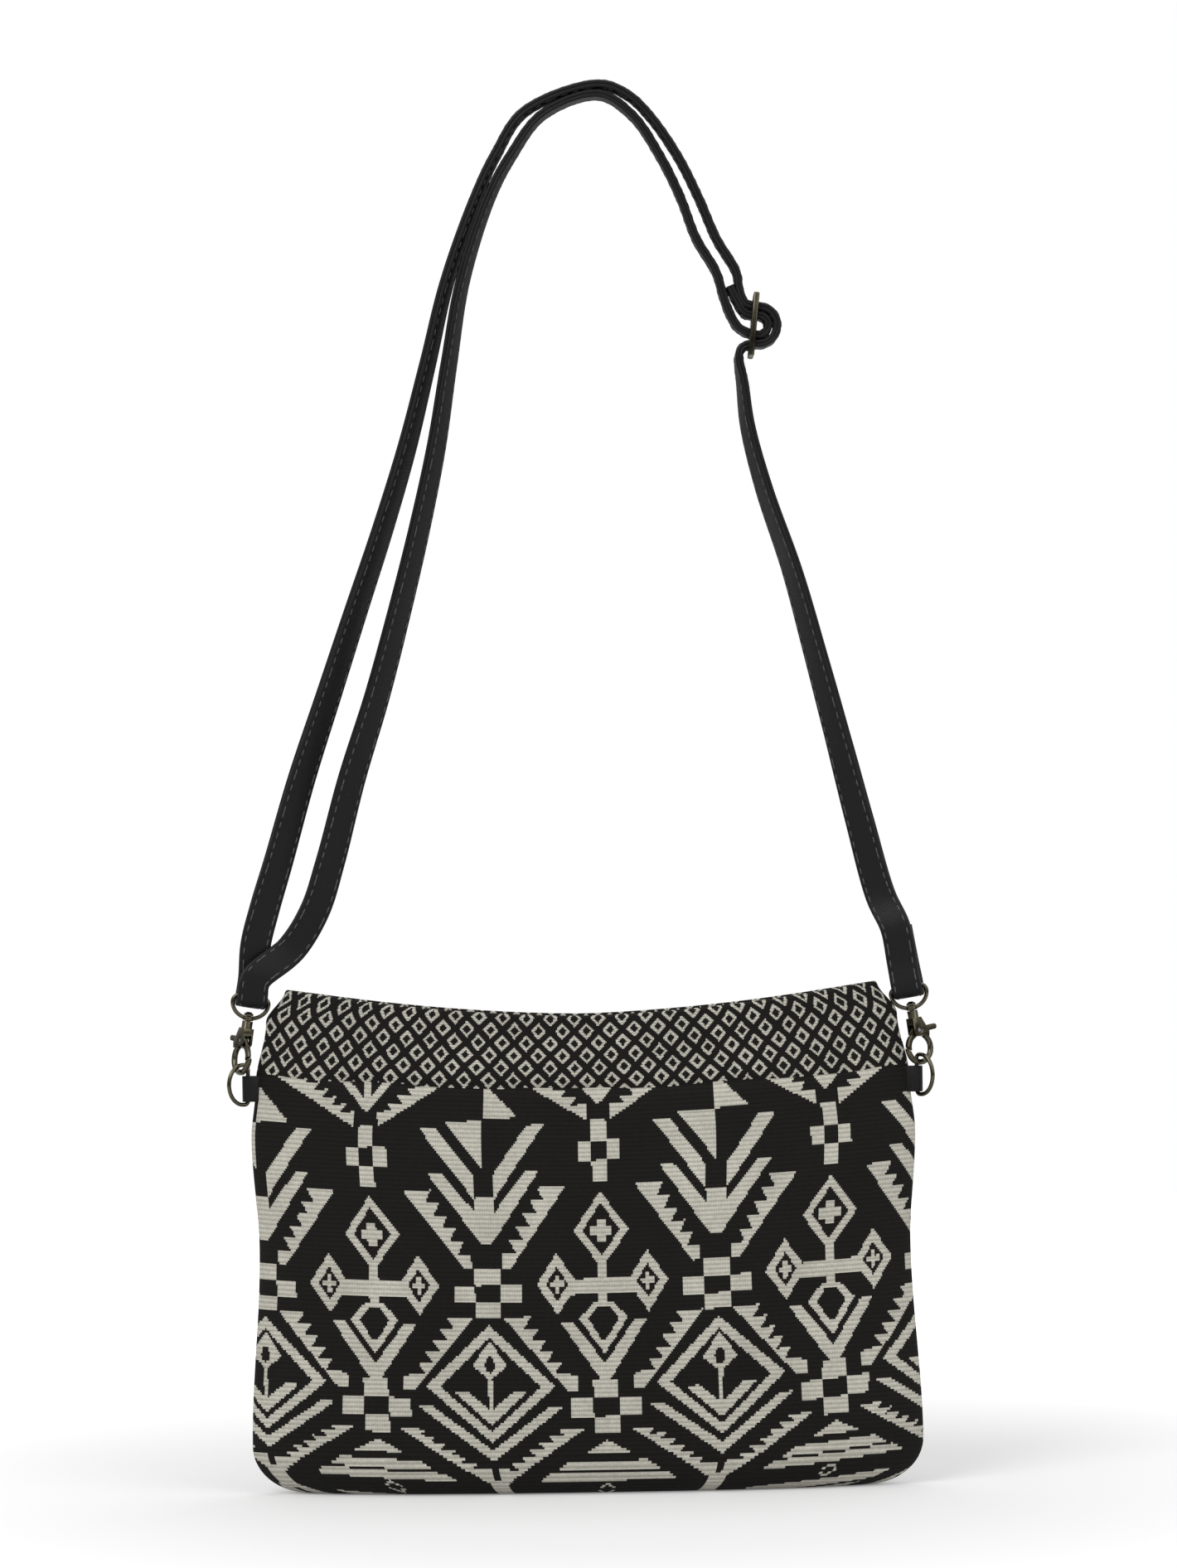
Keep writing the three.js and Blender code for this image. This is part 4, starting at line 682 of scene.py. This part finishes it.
left_eye, right_eye = eye_frame("left", -1), eye_frame("right", 1)
pass_adjuster((-3 * LAYER, 4 * LAYER), (-2 * LAYER, 2.3 * LAYER), (-LAYER, SEWN_TURN + EASE))
turn_adjuster(SEWN_TURN, 6)
pass_adjuster((-1.5 * LAYER, -SEWN_TURN / 2), (-2.7 * LAYER, LAYER), (-3.6 * LAYER, 2.9 * LAYER),
              (-4.6 * LAYER, 5.4 * LAYER))
pass_between(CROWN, ADJUSTER, RIGHT_INNER)
stops.append((CROWN, LEVEL))
pass_between(left_eye[0], CROWN, LEFT_INNER)
pass_eye(left_eye, (EYE_TURN + EASE, 2.6 * EYE_TURN))
turn_eye(left_eye)
pass_eye(left_eye, (-EYE_TURN - EASE, 2.6 * EYE_TURN))
pass_between(left_eye[0], CROWN, LEFT_OUTER)
stops.append((CROWN + Vector((0, 0, LAYER + EASE)), LEVEL))
pass_between(CROWN, ADJUSTER, RIGHT_OUTER)
pass_adjuster((-2.4 * LAYER, 5.6 * LAYER), (-1.9 * LAYER, 3.7 * LAYER),
              (-1.1 * LAYER, RUNNING_TURN + 2 * EASE))
turn_adjuster(RUNNING_TURN, 8)
pass_adjuster((-0.9 * LAYER, -RUNNING_TURN - 4 * EASE), (-1.3 * LAYER, -3.4 * LAYER))
pass_between(ADJUSTER, right_eye[0], RIGHT_RUN)
pass_eye(right_eye, (LAYER / 2, SEWN_HIGH), (LAYER / 2, SEWN_LOW))
turn_eye(right_eye)
pass_eye(right_eye, (-LAYER / 2, SEWN_LOW), (-LAYER / 2, SEWN_HIGH))


def route_point(span, share):
    """A point of the smooth route between two stops, spaced by the square root of their distances."""
    spots = [stops[min(max(span + i, 0), len(stops) - 1)][0] for i in (-1, 0, 1, 2)]
    if span == 0:
        spots[0] = spots[1] * 2 - spots[2]
    if span == len(stops) - 2:
        spots[3] = spots[2] * 2 - spots[1]
    gaps = [max((b - a).length, 1e-4) ** 0.5 for a, b in zip(spots, spots[1:])]
    start = ((spots[1] - spots[0]) / gaps[0] - (spots[2] - spots[0]) / (gaps[0] + gaps[1])
             + (spots[2] - spots[1]) / gaps[1]) * gaps[1]
    end = ((spots[2] - spots[1]) / gaps[1] - (spots[3] - spots[1]) / (gaps[1] + gaps[2])
           + (spots[3] - spots[2]) / gaps[2]) * gaps[1]
    s2, s3 = share * share, share ** 3
    return (spots[1] * (2 * s3 - 3 * s2 + 1) + start * (s3 - 2 * s2 + share)
            + spots[2] * (3 * s2 - 2 * s3) + end * (s3 - s2))


route = []
for span in range(len(stops) - 1):
    steps = max(3, int((stops[span + 1][0] - stops[span][0]).length / 2.2))
    for step in range(steps + (span == len(stops) - 2)):
        share = step / steps
        width = stops[span][1].lerp(stops[span + 1][1], share)
        route.append((route_point(span, share), width))
spots = np.array([p for p, _ in route])
ways = np.gradient(spots, axis=0)
ways /= np.linalg.norm(ways, axis=1)[:, None]
widths = np.array([w for _, w in route])
widths -= ways * (widths * ways).sum(axis=1)[:, None]
widths /= np.linalg.norm(widths, axis=1)[:, None]
faces_out = np.cross(ways, widths)
w, t = STRAP_WIDTH / 2, STRAP_THICKNESS / 2
# Half of the section, from the middle of a face round one edge:
# a dip under the stitches, and a joint between the layers.
edge = [(0, t), (w - 3, t), (w - 1.7, t - 0.22), (w - 0.8, t - 0.08), (w - 0.25, t - 0.35), (w, t - 0.8),
        (w, 0.3), (w - 0.35, 0)]
half = edge + [(a, -b) for a, b in reversed(edge[:-1])]
section = np.array(half + [(-a, b) for a, b in reversed(half[1:-1])] + half[:1])


def strap_place(round_band, along):
    """Points of the band: round its section, and along its route."""
    index = np.round(along * (len(spots) - 1)).astype(int)
    corner = section[np.round(round_band * (len(section) - 1)).astype(int)]
    return (spots[index] + widths[index] * corner[:, :1] + faces_out[index] * corner[:, 1:]).T


strap, _ = grid_piece("strap_band", len(section) - 1, len(spots) - 1, strap_place, closed=True)
strap.data.set_sharp_from_angle(angle=math.radians(55))
dress(strap, leather, "strap_leather", "strap_loop", "strap")

# Strap stitching: black bonded polyester thread, locked through both layers along each edge.
# The stitches are 3.3 mm long with a short gap where the thread goes through.
STITCH_PITCH, STITCH_LENGTH, STITCH_WIDTH = 4.2, 3.3, 0.75
STITCH_INSET, STITCH_SINK, STITCH_RISE = 1.7, 0.2, 0.38
thread, tree, shader = finish("polyester_thread")
# Twisted thread, a little lighter than the leather, with a fine diagonal twist painted in lighter bands as a
# soft painted highlight.
where = add(tree, "ShaderNodeTexCoord").outputs["Object"]
twist = add(tree, "ShaderNodeTexWave", {"Vector": where, "Scale": 900.0}, bands_direction="DIAGONAL")
twist_highlight = add(tree, "ShaderNodeMix", {0: twist.outputs[1], 6: linear("26272a"), 7: linear("48494e")},
          data_type="RGBA")
tree.links.new(twist_highlight.outputs[2], shader.inputs["Base Color"])
shader.inputs["Roughness"].default_value = 0.55
run = np.concatenate([[0], np.cumsum(np.linalg.norm(np.diff(spots, axis=0), axis=1))])
bm = bmesh.new()
bmesh.ops.create_uvsphere(bm, u_segments=6, v_segments=4, radius=1,
                          matrix=Matrix.Rotation(math.pi / 2, 4, "Y"))
one_stitch = bpy.data.meshes.new("one_stitch")
bm.to_mesh(one_stitch)
bm.clear()
for stitch in np.arange(STITCH_PITCH, run[-1] - STITCH_PITCH, STITCH_PITCH):
    index = int(np.searchsorted(run, stitch))
    way, width, out = Vector(ways[index]), Vector(widths[index]), Vector(faces_out[index])
    for across in (-1, 1):
        for face in (-1, 1):
            spot = Vector(spots[index]) + width * across * (w - STITCH_INSET) + out * face * (t - STITCH_SINK)
            spot = Vector(((spot.x - CROWN_SHIFT) / 1000, spot.y / 1000, spot.z / 1000 + FLOOR))
            lay = Matrix((way * STITCH_LENGTH / 2000, width * STITCH_WIDTH / 2000, out * STITCH_RISE / 1000))
            sewn = one_stitch.copy()
            sewn.transform(Matrix.Translation(spot) @ lay.transposed().to_4x4())
            bm.from_mesh(sewn)
            bpy.data.meshes.remove(sewn)
bpy.data.meshes.remove(one_stitch)
mesh = bpy.data.meshes.new("strap_stitches")
bmesh.ops.recalc_face_normals(bm, faces=bm.faces)
bm.to_mesh(mesh)
bm.free()
mesh.polygons.foreach_set("use_smooth", [True] * len(mesh.polygons))
stitches = bpy.data.objects.new("strap_stitches", mesh)
bpy.context.scene.collection.objects.link(stitches)
stitches.data.materials.append(thread)
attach(stitches, "strap_loop")

# Studio: a wide white floor under the base, soft lamps at a plain level, and the camera before the strap.
# The floor and the world are white to the camera, and the floor keeps the soft shadow.
FLOOR_HALF, FLOOR_DROP = 1.5, 0.0003


def seen_rays(tree):
    """The ray node, and 1 for what the camera sees, straight or in metal or glass."""
    rays = add(tree, "ShaderNodeLightPath")
    seen = rays.outputs["Is Camera Ray"]
    for kind in ("Is Glossy Ray", "Is Transmission Ray"):
        seen = add(tree, "ShaderNodeMath", {0: seen, 1: rays.outputs[kind]}, operation="MAXIMUM").outputs[0]
    return rays, seen


bm = bmesh.new()
bmesh.ops.create_grid(bm, x_segments=1, y_segments=1, size=FLOOR_HALF)
bmesh.ops.translate(bm, vec=(0, 0, FLOOR - FLOOR_DROP), verts=bm.verts)
mesh = bpy.data.meshes.new("floor")
bm.to_mesh(mesh)
bm.free()
floor = bpy.data.objects.new("floor", mesh)
bpy.context.scene.collection.objects.link(floor)
paper, tree, shader = finish("white_paper")
# Matt paper that keeps the soft shadow near the bag, where it glows little, and goes white further off.
shader.inputs["Base Color"].default_value = (0.6, 0.6, 0.6, 1)
shader.inputs["Roughness"].default_value = 1.0
_, seen = seen_rays(tree)
where = add(tree, "ShaderNodeTexCoord").outputs["Object"]
away = add(tree, "ShaderNodeVectorMath", {0: where}, operation="LENGTH")
pale = add(tree, "ShaderNodeMapRange", {0: away.outputs["Value"], 1: 0.62, 2: 1.0, 3: 0.22, 4: 1.0})
glow = add(tree, "ShaderNodeMath", {0: seen, 1: pale.outputs[0]}, operation="MULTIPLY")
tree.links.new(glow.outputs[0], shader.inputs["Emission Strength"])
shader.inputs["Emission Color"].default_value = (1, 1, 1, 1)
mesh.materials.append(paper)

world = bpy.data.worlds.new("studio")
bpy.context.scene.world = world
world.use_nodes = True
tree = world.node_tree
rays, seen = seen_rays(tree)
level = add(tree, "ShaderNodeMapRange", {0: seen, 3: 0.5, 4: 1.0})
# In metal the room is bright overhead and dim at the level of the bag, as it is under a large softbox.
where = add(tree, "ShaderNodeTexCoord").outputs["Generated"]
height = add(tree, "ShaderNodeSeparateXYZ", {0: where}).outputs["Z"]
fall = add(tree, "ShaderNodeMapRange", {0: height, 1: -0.1, 2: 0.6, 3: 0.12, 4: 1.6})
level = add(tree, "ShaderNodeMix",
            {0: rays.outputs["Is Glossy Ray"], 2: level.outputs[0], 3: fall.outputs[0]})
tree.links.new(level.outputs[0], tree.nodes["Background"].inputs["Strength"])
tree.nodes["Background"].inputs["Color"].default_value = (1, 1, 1, 1)
for name, spot, size, power in (("key", (-1.3, -1.7, 1.3), 1.4, 34), ("fill", (1.6, -1.4, 0.5), 1.6, 14),
                                ("top", (0.1, 0.3, 1.7), 1.6, 16)):
    lamp = bpy.data.lights.new(name, "AREA")
    lamp.size = size
    lamp.energy = power
    holder = bpy.data.objects.new(name, lamp)
    holder.location = spot
    holder.rotation_euler = (Vector((0, 0, -0.35)) - Vector(spot)).to_track_quat("-Z", "Y").to_euler()
    bpy.context.scene.collection.objects.link(holder)

lens_data = bpy.data.cameras.new("camera")
lens_data.sensor_fit = "VERTICAL"
lens_data.sensor_height = 36
lens_data.lens = 117.6
camera = bpy.data.objects.new("camera", lens_data)
camera.location = (-0.0089, -2.2, -0.294)
camera.rotation_euler = (math.radians(90), math.radians(0.9), 0)
bpy.context.scene.collection.objects.link(camera)
bpy.context.scene.camera = camera
bpy.context.scene.view_settings.view_transform = "Standard"
